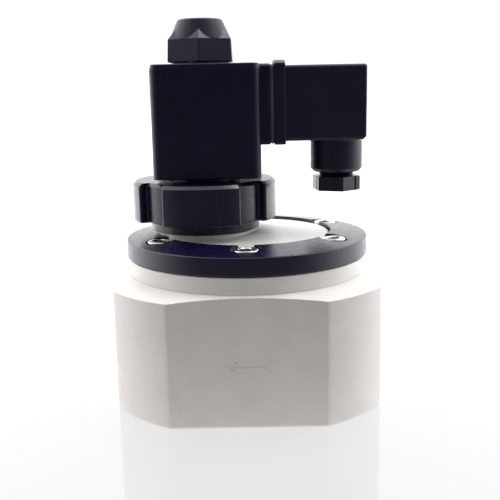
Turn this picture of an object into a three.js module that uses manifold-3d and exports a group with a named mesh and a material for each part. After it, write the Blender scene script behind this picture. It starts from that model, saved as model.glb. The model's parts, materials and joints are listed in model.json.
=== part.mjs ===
// Servo-assisted 2/2-way solenoid valve with a plastic body, a clamped cover, a pilot solenoid and a
// square connector. Millimetres, +Z up. The origin is at the centre of the body's base, the ports run
// along X and the front of the valve faces -Y. The pilot's axis stands at x = PILOT_X.
import * as THREE from "three";
import { mergeVertices } from "three/addons/utils/BufferGeometryUtils.js";
import Module from "manifold-3d";

const wasm = await Module();
wasm.setup();

// ---- Driving dimensions ----

const GAP = 0.3; // clearance between neighbouring pieces
const PILOT_X = -15.2; // pilot axis, off centre towards the outlet

// Valve body: a turned disc with four milled flats.
const BODY_R = 54;
const BODY_HALF_X = 46.2;
const BODY_HALF_Y = 47.25;
const BASE_CHAMFER = 0.9;
const SHOULDER_Z = 43;
const BODY_TOP = 44.6;
const BODY_TOP_R = 47.3;
const PORT_Z = 21.5;
const PORT_R = 15.15; // minor radius of a G1 thread
const PORT_MOUTH_R = 16.8;
const PORT_END = 29.2; // distance from the centre to the port's bottom
const CHANNEL_R = 11.5;
const SEAT_R = 12;
const SEAT_WALL = 3;
const SEAT_TOP = 38.5;
const CHAMBER_R = 27;
const CHAMBER_FLOOR = 33;
const PORT_WALL = 1.5; // between the seat and the inlet's pocket
const DRAIN_X = -29.6;
const DRAIN_R = 1.2;
const DRAIN_Z = 30.5;
const ARROW = { tip: -7.6, neck: -3.4, tail: 6.6, headHalf: 2.2, shaftHalf: 0.5, depth: 0.4 };

// Main valve: disc, diaphragm, plate, nut and spring.
const DISC_R = SEAT_R + SEAT_WALL + 1;
const DISC_TOP = 41;
const GUIDE_Z = 35.5;
const GUIDE_R = 8;
const PLATE_Z = 42.8;
const PLATE_TOP = 44.6;
const STEM_R = 4;
const STEM_TOP = 48.6;
const DISC_NUT_AF = 13;
const DISC_NUT_TOP = 48.1;
const WEB_R = 17;
const ROLL_R = 22;
const BLEED_R = 0.6;
const MAIN_SPRING = { radius: 11, wireR: 0.6, top: 53.7, turns: 3 };

// Clamped joint between body and cover.
const RIM_R = 32.3;
const RIM_FLOOR = 43.2;
const RIM_ROOF = 46.3;
const BOLT_CIRCLE_R = 35.3;
const BOLT_COUNT = 6;
const BOLT_R = 2.5;
const BOLT_HEAD_R = 4.25;
const BOLT_HEAD_H = 5;
const BOLT_HEAD_Z = 53.2;
const BOLT_END_Z = 31;
const BOLT_SOCKET_AF = 4;
const BOLT_SOCKET_DEPTH = 2.6;

// Cover.
const COVER_Z = BODY_TOP + GAP;
const COVER_FLANGE_R = 44;
const COVER_FLANGE_TOP = 50.4;
const HUB_R = 30.6;
const HUB_TOP = 57.4;
const DOME_TOP = 59.4;
const BOSS_R = 19;
const BOSS_SHOULDER_Z = 59.8;
const BOSS_THREAD_R = 17.6;
const BOSS_TOP = 69.5;
const BOSS_BORE_R = 13;
const BOSS_FLOOR = 61;
const PILOT_SEAT_Z = 63;
const PILOT_HOLE_R = 0.9;
const SEAL_GROOVE = { inner: 14.1, outer: 16.5, depth: 1.7 };
const CHAMBER_WALL_TOP = 49;
const SPRING_WELL_R = 13;
const SPRING_WELL_TOP = 54;
const STEM_WELL_R = 8;
const STEM_WELL_TOP = 56.3;
const FEED_R = 0.8;
const FEED_OFFSET = 8;
const DRAIN_DROP_TOP = 47.6;

// Clamp ring.
const RING_R = 44.3;
const RING_INNER_R = 31;
const RING_Z = 50.7;
const RING_EDGE_Z = 57;
const RING_TOP = 58.8;
const COUNTERBORE_R = 4.8;

// Union nut.
const NUT_LUG_R = 26.2;
const NUT_R = 23.2;
const NUT_SKIRT_R = 20;
const NUT_Z = 60.1;
const NUT_SKIRT_TOP = 63.8;
const NUT_TOP = 78;
const NUT_BORE_R = 18;
const NUT_LIP_Z = 74.1;
const NUT_LIP_R = 13.6;
const LUG_COUNT = 4;
const LUG_ANGLE = THREE.MathUtils.degToRad(64);

// Armature tube, core and plunger.
const SPIGOT_R = BOSS_BORE_R - GAP;
const TUBE_FLANGE_R = 17.2;
const TUBE_FLANGE_Z = BOSS_TOP + GAP;
const TUBE_NECK_Z = NUT_LIP_Z - GAP;
const TUBE_NECK_R = 13.2;
const TUBE_R = 6.9;
const TUBE_BORE_R = 5.4;
const TUBE_TOP = 113.5;
const CORE_Z = 96.5;
const CORE_R = TUBE_BORE_R - GAP;
const STUD_R = 4;
const STUD_TOP = 130;
const PLUNGER_R = 5;
const PLUNGER_Z = 64.5;
const PLUNGER_TOP = 94;
const PLUNGER_SEAL = { pocketR: 3.3, radius: 3, depth: 2.5 };
const PLUNGER_WELL = { radius: 3.2, depth: 10 };
const PLUNGER_SLOT = { deep: 0.6, halfWide: 0.7 };
const PLUNGER_SPRING = { radius: 2.4, wireR: 0.4, turns: 6 };
const SHADING_RING = { inner: 3.2, outer: 4.3, top: CORE_Z + 1.8 };
const TUBE_SEAL = { radius: 15.3, sectionR: 0.75 };
const SCREW_SEAL = { radius: 2.5, sectionR: 0.4 };

// Coil. Sizes in x and y are measured from the pilot axis, and the coil reaches further on the plug's side.
const COIL_MID_X = 2.05;
const COIL_HALF_X = 18.95;
const COIL_END_X = COIL_MID_X + COIL_HALF_X;
const COIL_HALF_Y = 18;
const COIL_CORNER_R = 3;
const COIL_Z = 79.4;
const COIL_TOP = 118.8;
const COIL_BORE_R = 7.3;
const PAD_X = 24.4;
const PAD_HALF_Y = 14;
const PAD_Z = 90.7;
const PAD_TOP = 118.5;
const PAD_MID_Z = (PAD_Z + PAD_TOP) / 2;
const CAVITY = { x: 16.6, y: 15.9, bottom: 82, top: 115.6 };
const YOKE = { wall: 2.5, halfX: 10 };
const BOBBIN = { inner: 7.6, hub: 8.6, flange: 12.6, bottom: 85.1, top: 112.5, wall: 1.2 };
const WINDING_R = 12.2;
const BLADE = { width: 6.3, thick: 0.8, inner: 15, outer: 32 };
const BLADE_OFFSET = 9;
const EARTH_OFFSET = 8.2;

// Cap nut.
const CAP_Z = 119.6;
const CAP_HEX_TOP = 127.4;
const CAP_TOP = 134.5;
const CAP_AF = 22.7;
const CAP_TOP_AF = 22;
const CAP_PYRAMID = { height: 2.8, acrossFlats: 17.6 };
const CAP_CONE_R = 11.1;
const CAP_TIP_R = 7.8;
const CAP_WASHER_R = 10.4;

// Connector. Sizes in x are measured from the pilot axis.
const GASKET_X = 24.55;
const GASKET_HALF_Y = 13.7;
const PLUG_X = 25.75;
const PLUG_FLANGE_X = 29.7;
const PLUG_END_X = 57.5;
const PLUG_HALF_Y = 13.4;
const PLUG_Z = 91.8;
const PLUG_TOP = 117.8;
const PLUG_CHAMFER = 1.4;
const PLUG_CAVITY = { halfY: 12.2, bottom: 93.6, top: 115.4, end: 55 };
const FLANGE_Z = 90.6;
const FLANGE_TOP = 120.3;
const SCREW_BOSS_R = 5;
const SCREW_BOSS_X = 50.6;
const SCREW_SINK_R = 3.8;
const SCREW_SINK_X = 54.5;
const GLAND_X = 48.5;
const GLAND_BOSS_R = 9.4;
const GLAND_BOSS_Z = 79.9;
const GLAND_THREAD_R = 6.6;
const GLAND_BORE_R = 4.3;
const GLAND_NUT_Z = 73.1;
const GLAND_NUT_TOP = 78.3;
const GLAND_NUT_AF = 15.6;
const GLAND_NUT_TURN = THREE.MathUtils.degToRad(10);
const GLAND_THREAD_TOP = 85.5;
const GLAND_WASHER = { inner: 4, outer: 6.5, bottom: 85.8, top: 86.6 };
const GLAND_SEAL = { inner: 3.6, outer: 6.5, bottom: 86.9, top: 91 };
const CABLE_WAY_R = 5;
const CENTRE_SCREW_R = 1.5;
const CENTRE_SCREW_HEAD_R = 3.2;

// Terminal block. Sizes in x are measured from the pilot axis.
const BLOCK_X = 26;
const BLOCK_END_X = 42;
const BLOCK_HALF_Y = 11.9;
const SOCKET_END_X = 37.5;
const SOCKET_WALL = 0.6;
const TERMINAL_SCREW = { shankR: 1.2, headR: 2.4 };

const FINE = 40; // segments round a large turned piece
const MEDIUM = 26;
const ROD = 16;
const SMALL = 12;

// ---- Solids ----

function solid(geometry) {
  geometry.deleteAttribute("normal");
  geometry.deleteAttribute("uv");
  const merged = mergeVertices(geometry, 1e-4);
  const index = merged.index.array;
  const triangles = [];
  for (let i = 0; i < index.length; i += 3) {
    const [a, b, c] = [index[i], index[i + 1], index[i + 2]];
    if (a !== b && b !== c && c !== a) {
      triangles.push(a, b, c);
    }
  }
  const vertProperties = new Float32Array(merged.attributes.position.array);
  const triVerts = new Uint32Array(triangles);
  return new wasm.Manifold(new wasm.Mesh({ numProp: 3, vertProperties, triVerts }));
}

function toGeometry(manifold) {
  const { vertProperties, triVerts } = manifold.getMesh();
  const geometry = new THREE.BufferGeometry();
  geometry.setAttribute("position", new THREE.BufferAttribute(vertProperties, 3));
  geometry.setIndex(new THREE.BufferAttribute(triVerts, 1));
  geometry.computeVertexNormals();
  return geometry;
}

// A turned solid about Z from [radius, z] points, listed anticlockwise from the axis back to the axis.
function turned(points, segments = MEDIUM) {
  const profile = points.map(([r, z]) => new THREE.Vector2(r, z));
  return solid(new THREE.LatheGeometry(profile, segments).rotateX(Math.PI / 2));
}

// A turned ring about Z whose profile closes on itself.
function turnedRing(points, segments = MEDIUM) {
  return turned([...points, points[0]], segments);
}

function disc(radius, bottom, top, segments = MEDIUM) {
  return turned([[0, bottom], [radius, bottom], [radius, top], [0, top]], segments);
}

function washer(inner, outer, bottom, top, segments = MEDIUM) {
  return turnedRing([[inner, bottom], [outer, bottom], [outer, top], [inner, top]], segments);
}

function block([x0, x1], [y0, y1], [z0, z1]) {
  const box = new THREE.BoxGeometry(x1 - x0, y1 - y0, z1 - z0);
  return solid(box.translate((x0 + x1) / 2, (y0 + y1) / 2, (z0 + z1) / 2));
}

// A round bar along X, centred on y and z.
function barX(radius, x0, x1, y, z, segments = SMALL) {
  const bar = new THREE.CylinderGeometry(radius, radius, x1 - x0, segments);
  return solid(bar.rotateZ(Math.PI / 2).translate((x0 + x1) / 2, y, z));
}

// A round bar along Z, centred on x and y.
function barZ(radius, z0, z1, x, y, segments = SMALL) {
  const bar = new THREE.CylinderGeometry(radius, radius, z1 - z0, segments);
  return solid(bar.rotateX(Math.PI / 2).translate(x, y, (z0 + z1) / 2));
}

// A hexagonal bar along Z with a corner towards the front, after a turn about Z.
function hexBar(acrossFlats, z0, z1, topFlats = acrossFlats, turn = 0) {
  const [top, bottom] = [topFlats / Math.sqrt(3), acrossFlats / Math.sqrt(3)];
  const bar = new THREE.CylinderGeometry(top, bottom, z1 - z0, 6);
  return solid(bar.rotateX(Math.PI / 2).rotateZ(turn).translate(0, 0, (z0 + z1) / 2));
}

function roundedRectangle(halfX, halfY, radius) {
  const shape = new THREE.Shape();
  shape.moveTo(halfX - radius, -halfY);
  shape.absarc(halfX - radius, radius - halfY, radius, -Math.PI / 2, 0);
  shape.absarc(halfX - radius, halfY - radius, radius, 0, Math.PI / 2);
  shape.absarc(radius - halfX, halfY - radius, radius, Math.PI / 2, Math.PI);
  shape.absarc(radius - halfX, radius - halfY, radius, Math.PI, 1.5 * Math.PI);
  shape.closePath();
  return shape;
}

// A shape in x and y, raised from one height to another.
function raised(shape, bottom, top, curveSegments = 5) {
  const settings = { depth: top - bottom, bevelEnabled: false, curveSegments };
  return solid(new THREE.ExtrudeGeometry(shape, settings).translate(0, 0, bottom));
}

// A compression spring about Z.
class Helix extends THREE.Curve {
  constructor(radius, bottom, top, turns) {
    super();
    Object.assign(this, { radius, bottom, top, turns });
  }

  getPoint(t, target = new THREE.Vector3()) {
    const angle = t * this.turns * 2 * Math.PI;
    const height = THREE.MathUtils.lerp(this.bottom, this.top, t);
    return target.set(this.radius * Math.cos(angle), this.radius * Math.sin(angle), height);
  }
}

function spring(radius, wireR, bottom, top, turns) {
  const section = new THREE.Shape();
  section.absarc(0, 0, wireR, 0, 2 * Math.PI);
  const path = new Helix(radius, bottom + wireR, top - wireR, turns);
  const settings = { extrudePath: path, steps: turns * 12, curveSegments: 2, bevelEnabled: false };
  return solid(new THREE.ExtrudeGeometry(section, settings));
}

function oRing({ radius, sectionR }, z) {
  const points = [];
  const sides = 6;
  for (let i = 0; i < sides; i += 1) {
    const angle = (i / sides) * 2 * Math.PI;
    points.push([radius + sectionR * Math.cos(angle), z + sectionR * Math.sin(angle)]);
  }
  return turnedRing(points, SMALL);
}

const joined = (first, ...others) => others.reduce((sum, piece) => sum.add(piece), first);
const cut = (first, ...tools) => tools.reduce((rest, tool) => rest.subtract(tool), first);

// ---- Groups and materials ----

const group = new THREE.Group();
const pilot = new THREE.Group();
pilot.position.x = PILOT_X;
group.add(pilot);

const finishes = {
  whitePlastic: [0xf1f1ef, 0.42, 0],
  blackPlastic: [0x141418, 0.32, 0],
  insertPlastic: [0x2b2c30, 0.5, 0],
  rubber: [0x1b1b1b, 0.8, 0],
  greyRubber: [0xb9bcc0, 0.6, 0],
  steel: [0xb8babd, 0.28, 1],
  magneticSteel: [0x8f9296, 0.4, 1],
  copper: [0xb46a3c, 0.35, 1],
  brass: [0xc2a25a, 0.35, 1],
};

function addPiece(parent, name, manifold, finish) {
  const [color, roughness, metalness] = finishes[finish];
  const material = new THREE.MeshStandardMaterial({ color, roughness, metalness });
  const mesh = new THREE.Mesh(toGeometry(manifold), material);
  mesh.name = name;
  parent.add(mesh);
}

// The bolts stand on one circle, with the first at the front.
const boltPlaces = Array.from({ length: BOLT_COUNT }, (_, i) => {
  const angle = (i / BOLT_COUNT) * 2 * Math.PI;
  return [BOLT_CIRCLE_R * Math.sin(angle), -BOLT_CIRCLE_R * Math.cos(angle)];
});

function holesForBolts(bottom, top) {
  return boltPlaces.map(([x, y]) => barZ(BOLT_R + GAP, bottom, top, x, y));
}

// ---- Valve body ----

// The flow arrow lies in the front face and points from the inlet at +X to the outlet at -X.
function flowArrow() {
  const { tip, neck, tail, headHalf, shaftHalf, depth } = ARROW;
  const shape = new THREE.Shape();
  shape.moveTo(tip, 0);
  shape.lineTo(neck, -headHalf);
  shape.lineTo(neck, -shaftHalf);
  shape.lineTo(tail, -shaftHalf);
  shape.lineTo(tail, shaftHalf);
  shape.lineTo(neck, shaftHalf);
  shape.lineTo(neck, headHalf);
  shape.closePath();
  const settings = { depth: 2 * depth, bevelEnabled: false };
  const arrow = new THREE.ExtrudeGeometry(shape, settings).rotateX(Math.PI / 2);
  return solid(arrow.translate(0, depth - BODY_HALF_Y, PORT_Z));
}

function portCut(side) {
  const bore = barX(PORT_R, PORT_END, BODY_HALF_X + 1, 0, 0, MEDIUM);
  const depth = PORT_MOUTH_R - PORT_R;
  const mouth = turned([
    [0, BODY_HALF_X - depth - 0.5],
    [PORT_R - 0.5, BODY_HALF_X - depth - 0.5],
    [PORT_MOUTH_R + 0.5, BODY_HALF_X + 0.5],
    [0, BODY_HALF_X + 0.5],
  ]).rotate([0, 90, 0]);
  return bore.add(mouth).rotate([0, 0, side > 0 ? 0 : 180]).translate([0, 0, PORT_Z]);
}

// The block whose sides are the body's four flats, chamfered round its base.
function flatSides() {
  const [x, y] = [BODY_HALF_X, BODY_HALF_Y];
  const [footX, footY] = [x - BASE_CHAMFER, y - BASE_CHAMFER];
  const foot = block([-footX, footX], [-footY, footY], [0, BASE_CHAMFER]);
  const sides = block([-x, x], [-y, y], [BASE_CHAMFER, BODY_TOP + 1]);
  return wasm.Manifold.hull([foot, sides]);
}

function valveBody() {
  const blank = turned([
    [0, 0],
    [BODY_R - BASE_CHAMFER, 0],
    [BODY_R, BASE_CHAMFER],
    [BODY_R, SHOULDER_Z],
    [BODY_TOP_R, BODY_TOP],
    [0, BODY_TOP],
  ], FINE);
  const seatOuterR = SEAT_R + SEAT_WALL;
  const chamber = turned([
    [0, SEAT_TOP],
    [seatOuterR, SEAT_TOP],
    [seatOuterR, CHAMBER_FLOOR],
    [CHAMBER_R, CHAMBER_FLOOR],
    [CHAMBER_R, RIM_FLOOR],
    [RIM_R, RIM_FLOOR],
    [RIM_R, BODY_TOP + 1],
    [0, BODY_TOP + 1],
  ], FINE);
  const pocketHalf = CHANNEL_R - 0.5;
  const pocketX = [seatOuterR + PORT_WALL, PORT_END + 1];
  const pocketZ = [PORT_Z - CHANNEL_R, CHAMBER_FLOOR + 1];
  const inletPocket = block(pocketX, [-pocketHalf, pocketHalf], pocketZ);
  const outletChannel = barX(CHANNEL_R, -PORT_END - 1, 0, 0, PORT_Z, MEDIUM);
  const seatBore = disc(SEAT_R, PORT_Z - CHANNEL_R, SEAT_TOP + 1);
  const drain = barZ(DRAIN_R, DRAIN_Z, BODY_TOP + 1, DRAIN_X, 0);
  const boltHoles = holesForBolts(BOLT_END_Z - 1.5, BODY_TOP + 1);
  const ways = [chamber, inletPocket, outletChannel, seatBore, drain, portCut(1), portCut(-1)];
  return cut(blank.intersect(flatSides()), ...ways, ...boltHoles, flowArrow());
}

// ---- Main valve: diaphragm, disc, plate and spring ----

function mainDiaphragm() {
  const [rimIn, rimOut] = [CHAMBER_R + 0.6, RIM_R - GAP];
  const hole = STEM_R + GAP;
  const membrane = turnedRing([
    [hole, DISC_TOP + GAP],
    [WEB_R, DISC_TOP + GAP],
    [ROLL_R, DISC_TOP - 0.2],
    [rimIn, RIM_FLOOR + GAP],
    [rimOut, RIM_FLOOR + GAP],
    [rimOut, RIM_ROOF - GAP],
    [rimIn, RIM_ROOF - GAP],
    [rimIn - 1, RIM_ROOF - 1.6],
    [ROLL_R, DISC_TOP + 1],
    [WEB_R, PLATE_Z - GAP],
    [hole, PLATE_Z - GAP],
  ]);
  const drainHole = barZ(DRAIN_R, RIM_FLOOR, RIM_ROOF, DRAIN_X, 0);
  const bleedHole = barZ(BLEED_R, DISC_TOP - 3, PLATE_TOP, 0, ROLL_R);
  return cut(membrane, drainHole, bleedHole);
}

function valveDisc() {
  return turned([
    [0, GUIDE_Z],
    [GUIDE_R, GUIDE_Z],
    [SEAT_R - 1, SEAT_TOP + GAP],
    [DISC_R, SEAT_TOP + GAP],
    [DISC_R, DISC_TOP],
    [STEM_R, DISC_TOP],
    [STEM_R, STEM_TOP],
    [0, STEM_TOP],
  ]);
}

const supportPlate = () => washer(STEM_R + GAP, DISC_R, PLATE_Z, PLATE_TOP);

function discNut() {
  const hex = hexBar(DISC_NUT_AF, PLATE_TOP + GAP, DISC_NUT_TOP);
  return hex.subtract(disc(STEM_R + GAP, PLATE_TOP, DISC_NUT_TOP + 1));
}

function mainSpring() {
  const { radius, wireR, top, turns } = MAIN_SPRING;
  return spring(radius, wireR, PLATE_TOP + GAP, top, turns);
}

// ---- Cover ----

function drainPassage() {
  const from = new THREE.Vector3(PILOT_X, 0, BOSS_FLOOR + 0.8);
  const to = new THREE.Vector3(DRAIN_X, 0, DRAIN_DROP_TOP - 0.6);
  const length = from.distanceTo(to);
  const passage = new THREE.CylinderGeometry(PILOT_HOLE_R, PILOT_HOLE_R, length, SMALL);
  const along = to.clone().sub(from).normalize();
  const turn = new THREE.Quaternion().setFromUnitVectors(new THREE.Vector3(0, 1, 0), along);
  passage.applyQuaternion(turn);
  const middle = from.clone().add(to).multiplyScalar(0.5);
  return solid(passage.translate(middle.x, middle.y, middle.z));
}

function cover() {
  const plate = turned([
    [0, COVER_Z],
    [COVER_FLANGE_R, COVER_Z],
    [COVER_FLANGE_R, COVER_FLANGE_TOP],
    [HUB_R, COVER_FLANGE_TOP],
    [HUB_R, HUB_TOP],
    [HUB_R - 0.8, HUB_TOP + 0.6],
    [0, DOME_TOP],
  ], FINE);
  const place = (piece) => piece.translate([PILOT_X, 0, 0]);
  const overRing = RING_TOP + GAP;
  const hubLimit = disc(HUB_R, COVER_Z, CAP_TOP, FINE);
  const bossFoot = place(disc(BOSS_R, HUB_TOP - 2, overRing)).intersect(hubLimit);
  const boss = turned([
    [0, overRing],
    [BOSS_R, overRing],
    [BOSS_R, BOSS_SHOULDER_Z],
    [BOSS_THREAD_R, BOSS_SHOULDER_Z],
    [BOSS_THREAD_R, BOSS_TOP],
    [0, BOSS_TOP],
  ]);
  const bossBore = disc(BOSS_BORE_R, BOSS_FLOOR, BOSS_TOP + 1);
  const pilotSeat = turned([
    [0, BOSS_FLOOR - 1],
    [4, BOSS_FLOOR - 1],
    [2, PILOT_SEAT_Z],
    [0, PILOT_SEAT_Z],
  ], SMALL);
  const pilotHole = disc(PILOT_HOLE_R, BOSS_FLOOR, PILOT_SEAT_Z + 1, SMALL);
  const { inner, outer, depth } = SEAL_GROOVE;
  const sealGroove = washer(inner, outer, BOSS_TOP - depth, BOSS_TOP + 1);
  const pressureChamber = turned([
    [0, COVER_Z - 1],
    [RIM_R, COVER_Z - 1],
    [RIM_R, RIM_ROOF],
    [CHAMBER_R, RIM_ROOF],
    [CHAMBER_R, CHAMBER_WALL_TOP],
    [SPRING_WELL_R, SPRING_WELL_TOP],
    [STEM_WELL_R, SPRING_WELL_TOP],
    [STEM_WELL_R, STEM_WELL_TOP],
    [0, STEM_WELL_TOP],
  ], FINE);
  const feed = barZ(FEED_R, STEM_WELL_TOP - 1, BOSS_FLOOR + 1, PILOT_X + FEED_OFFSET, 0);
  const drainDrop = barZ(DRAIN_R, COVER_Z - 1, DRAIN_DROP_TOP, DRAIN_X, 0);
  const boltHoles = holesForBolts(COVER_Z - 1, COVER_FLANGE_TOP + 1);
  const outside = joined(plate, bossFoot, place(boss));
  const bored = cut(outside, place(bossBore), place(sealGroove)).add(place(pilotSeat));
  return cut(bored, pressureChamber, place(pilotHole), feed, drainPassage(), drainDrop, ...boltHoles);
}

// ---- Clamp ring and screws ----

function clampRing() {
  const edge = 0.6;
  const ring = turnedRing([
    [RING_INNER_R, RING_Z],
    [RING_R - edge, RING_Z],
    [RING_R, RING_Z + edge],
    [RING_R, RING_EDGE_Z - edge],
    [RING_R - edge, RING_EDGE_Z],
    [RING_INNER_R, RING_TOP],
  ], FINE);
  const holes = holesForBolts(RING_Z - 1, RING_TOP + 1);
  const counterbores = boltPlaces.map(([x, y]) => (
    barZ(COUNTERBORE_R, BOLT_HEAD_Z - 0.2, RING_TOP + 1, x, y, 18)
  ));
  return cut(ring, ...holes, ...counterbores);
}

function socketScrew() {
  const top = BOLT_HEAD_Z + BOLT_HEAD_H;
  const screw = turned([
    [0, BOLT_END_Z],
    [BOLT_R - 0.5, BOLT_END_Z],
    [BOLT_R, BOLT_END_Z + 0.5],
    [BOLT_R, BOLT_HEAD_Z],
    [BOLT_HEAD_R, BOLT_HEAD_Z],
    [BOLT_HEAD_R, top - 0.4],
    [BOLT_HEAD_R - 0.4, top],
    [0, top],
  ], SMALL);
  return screw.subtract(hexBar(BOLT_SOCKET_AF, top - BOLT_SOCKET_DEPTH, top + 1));
}

// ---- Union nut ----

function sector(radius, angle, bottom, top) {
  const shape = new THREE.Shape();
  shape.moveTo(0, 0);
  shape.lineTo(radius * Math.cos(-angle / 2), radius * Math.sin(-angle / 2));
  shape.absarc(0, 0, radius, -angle / 2, angle / 2);
  shape.closePath();
  return raised(shape, bottom, top, 4);
}

function unionNut() {
  const chamfer = 1.2;
  const chamferedDisc = (radius, segments) => turned([
    [0, NUT_SKIRT_TOP],
    [radius - 0.6, NUT_SKIRT_TOP],
    [radius, NUT_SKIRT_TOP + 0.6],
    [radius, NUT_TOP - chamfer],
    [radius - chamfer, NUT_TOP],
    [0, NUT_TOP],
  ], segments);
  const lugBlank = chamferedDisc(NUT_LUG_R, FINE);
  const pitch = (2 * Math.PI) / LUG_COUNT;
  const quadrants = Array.from({ length: LUG_COUNT }, (_, i) => {
    const turn = THREE.MathUtils.radToDeg(i * pitch - Math.PI / 2);
    return sector(NUT_LUG_R + 1, LUG_ANGLE, NUT_SKIRT_TOP - 1, NUT_TOP + 1).rotate([0, 0, turn]);
  });
  const lugs = lugBlank.intersect(joined(...quadrants));
  const skirt = disc(NUT_SKIRT_R, NUT_Z, NUT_SKIRT_TOP + 1);
  const bore = disc(NUT_BORE_R, NUT_Z - 1, NUT_LIP_Z);
  const lip = disc(NUT_LIP_R, NUT_Z, NUT_TOP + 1);
  return cut(joined(chamferedDisc(NUT_R, FINE), lugs, skirt), bore, lip);
}

// ---- Armature tube, core, plunger ----

function armatureTube() {
  return turnedRing([
    [TUBE_BORE_R, BOSS_FLOOR + 1],
    [SPIGOT_R, BOSS_FLOOR + 1],
    [SPIGOT_R, TUBE_FLANGE_Z],
    [TUBE_FLANGE_R, TUBE_FLANGE_Z],
    [TUBE_FLANGE_R, TUBE_NECK_Z],
    [TUBE_NECK_R, TUBE_NECK_Z],
    [TUBE_NECK_R, COIL_Z - GAP],
    [TUBE_R, COIL_Z - GAP],
    [TUBE_R, TUBE_TOP],
    [TUBE_BORE_R, TUBE_TOP],
  ]);
}

function fixedCore() {
  const collarTop = TUBE_TOP + GAP + 2;
  const core = turned([
    [0, CORE_Z],
    [CORE_R, CORE_Z],
    [CORE_R, TUBE_TOP + GAP],
    [TUBE_R, TUBE_TOP + GAP],
    [TUBE_R, collarTop],
    [STUD_R, collarTop],
    [STUD_R, STUD_TOP - 0.6],
    [STUD_R - 0.6, STUD_TOP],
    [0, STUD_TOP],
  ], 20);
  const { inner, outer, top } = SHADING_RING;
  return core.subtract(washer(inner - GAP, outer + GAP, CORE_Z - 1, top + GAP, SMALL));
}

function shadingRing() {
  const { inner, outer, top } = SHADING_RING;
  return washer(inner, outer, CORE_Z + GAP, top, SMALL);
}

function plunger() {
  const blank = turned([
    [0, PLUNGER_Z],
    [PLUNGER_R - 0.5, PLUNGER_Z],
    [PLUNGER_R, PLUNGER_Z + 0.5],
    [PLUNGER_R, PLUNGER_TOP],
    [0, PLUNGER_TOP],
  ], 20);
  const sealTop = PLUNGER_Z + PLUNGER_SEAL.depth;
  const sealPocket = disc(PLUNGER_SEAL.pocketR, PLUNGER_Z - 1, sealTop, SMALL);
  const wellFloor = PLUNGER_TOP - PLUNGER_WELL.depth;
  const springWell = disc(PLUNGER_WELL.radius, wellFloor, PLUNGER_TOP + 1, SMALL);
  const { deep, halfWide } = PLUNGER_SLOT;
  const slots = [-PLUNGER_R, PLUNGER_R].map((x) => (
    block([x - deep, x + deep], [-halfWide, halfWide], [PLUNGER_Z - 1, PLUNGER_TOP + 1])
  ));
  return cut(blank, sealPocket, springWell, ...slots);
}

function plungerSeal() {
  const { radius, depth } = PLUNGER_SEAL;
  return disc(radius, PILOT_SEAT_Z + GAP, PLUNGER_Z + depth - GAP, SMALL);
}

function plungerSpring() {
  const { radius, wireR, turns } = PLUNGER_SPRING;
  return spring(radius, wireR, PLUNGER_TOP - PLUNGER_WELL.depth + GAP, CORE_Z - GAP, turns);
}

// ---- Coil ----

// The three blades: two upright line blades beside the centre and one flat earth blade below it.
const blades = {
  contact_blade_1: { y: -BLADE_OFFSET, z: PAD_MID_Z, upright: true },
  contact_blade_2: { y: BLADE_OFFSET, z: PAD_MID_Z, upright: true },
  earth_blade: { y: 0, z: PAD_MID_Z - EARTH_OFFSET, upright: false },
};

// A bar with the blade's section, grown by a margin on every side.
function bladeBar({ y, z, upright }, x0, x1, margin, grow = 0) {
  const across = BLADE.width / 2 + margin + grow;
  const through = BLADE.thick / 2 + margin + grow;
  const [halfY, halfZ] = upright ? [through, across] : [across, through];
  return block([x0, x1], [y - halfY, y + halfY], [z - halfZ, z + halfZ]);
}

function coilHousing() {
  const outline = roundedRectangle(COIL_HALF_X, COIL_HALF_Y, COIL_CORNER_R);
  const shell = raised(outline, COIL_Z, COIL_TOP).translate([COIL_MID_X, 0, 0]);
  const pad = block([COIL_END_X - 1, PAD_X], [-PAD_HALF_Y, PAD_HALF_Y], [PAD_Z, PAD_TOP]);
  const cavityX = [COIL_MID_X - CAVITY.x, COIL_MID_X + CAVITY.x];
  const cavity = block(cavityX, [-CAVITY.y, CAVITY.y], [CAVITY.bottom, CAVITY.top]);
  const bore = disc(COIL_BORE_R, COIL_Z - 1, COIL_TOP + 1);
  const slots = Object.values(blades).map((blade) => bladeBar(blade, cavityX[1] - 1, PAD_X + 1, GAP));
  const screwHole = barX(CENTRE_SCREW_R + GAP, COIL_END_X - 0.9, PAD_X + 1, 0, PAD_MID_Z, ROD);
  return cut(shell.add(pad), cavity, bore, ...slots, screwHole);
}

function coilYoke() {
  const { wall, halfX } = YOKE;
  const halfY = CAVITY.y - GAP;
  const [bottom, top] = [CAVITY.bottom + GAP, CAVITY.top - GAP];
  const outer = block([-halfX, halfX], [-halfY, halfY], [bottom, top]);
  const windowX = [-halfX - 1, halfX + 1];
  const window = block(windowX, [wall - halfY, halfY - wall], [bottom + wall, top - wall]);
  return cut(outer, window, disc(COIL_BORE_R + GAP, bottom - 1, top + 1));
}

function coilBobbin() {
  const { inner, hub, flange, bottom, top, wall } = BOBBIN;
  return turnedRing([
    [inner, bottom],
    [flange, bottom],
    [flange, bottom + wall],
    [hub, bottom + wall],
    [hub, top - wall],
    [flange, top - wall],
    [flange, top],
    [inner, top],
  ], 20);
}

function coilWinding() {
  const { hub, bottom, top, wall } = BOBBIN;
  return washer(hub + GAP, WINDING_R, bottom + wall + GAP, top - wall - GAP, 20);
}

// ---- Cap nut ----

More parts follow.
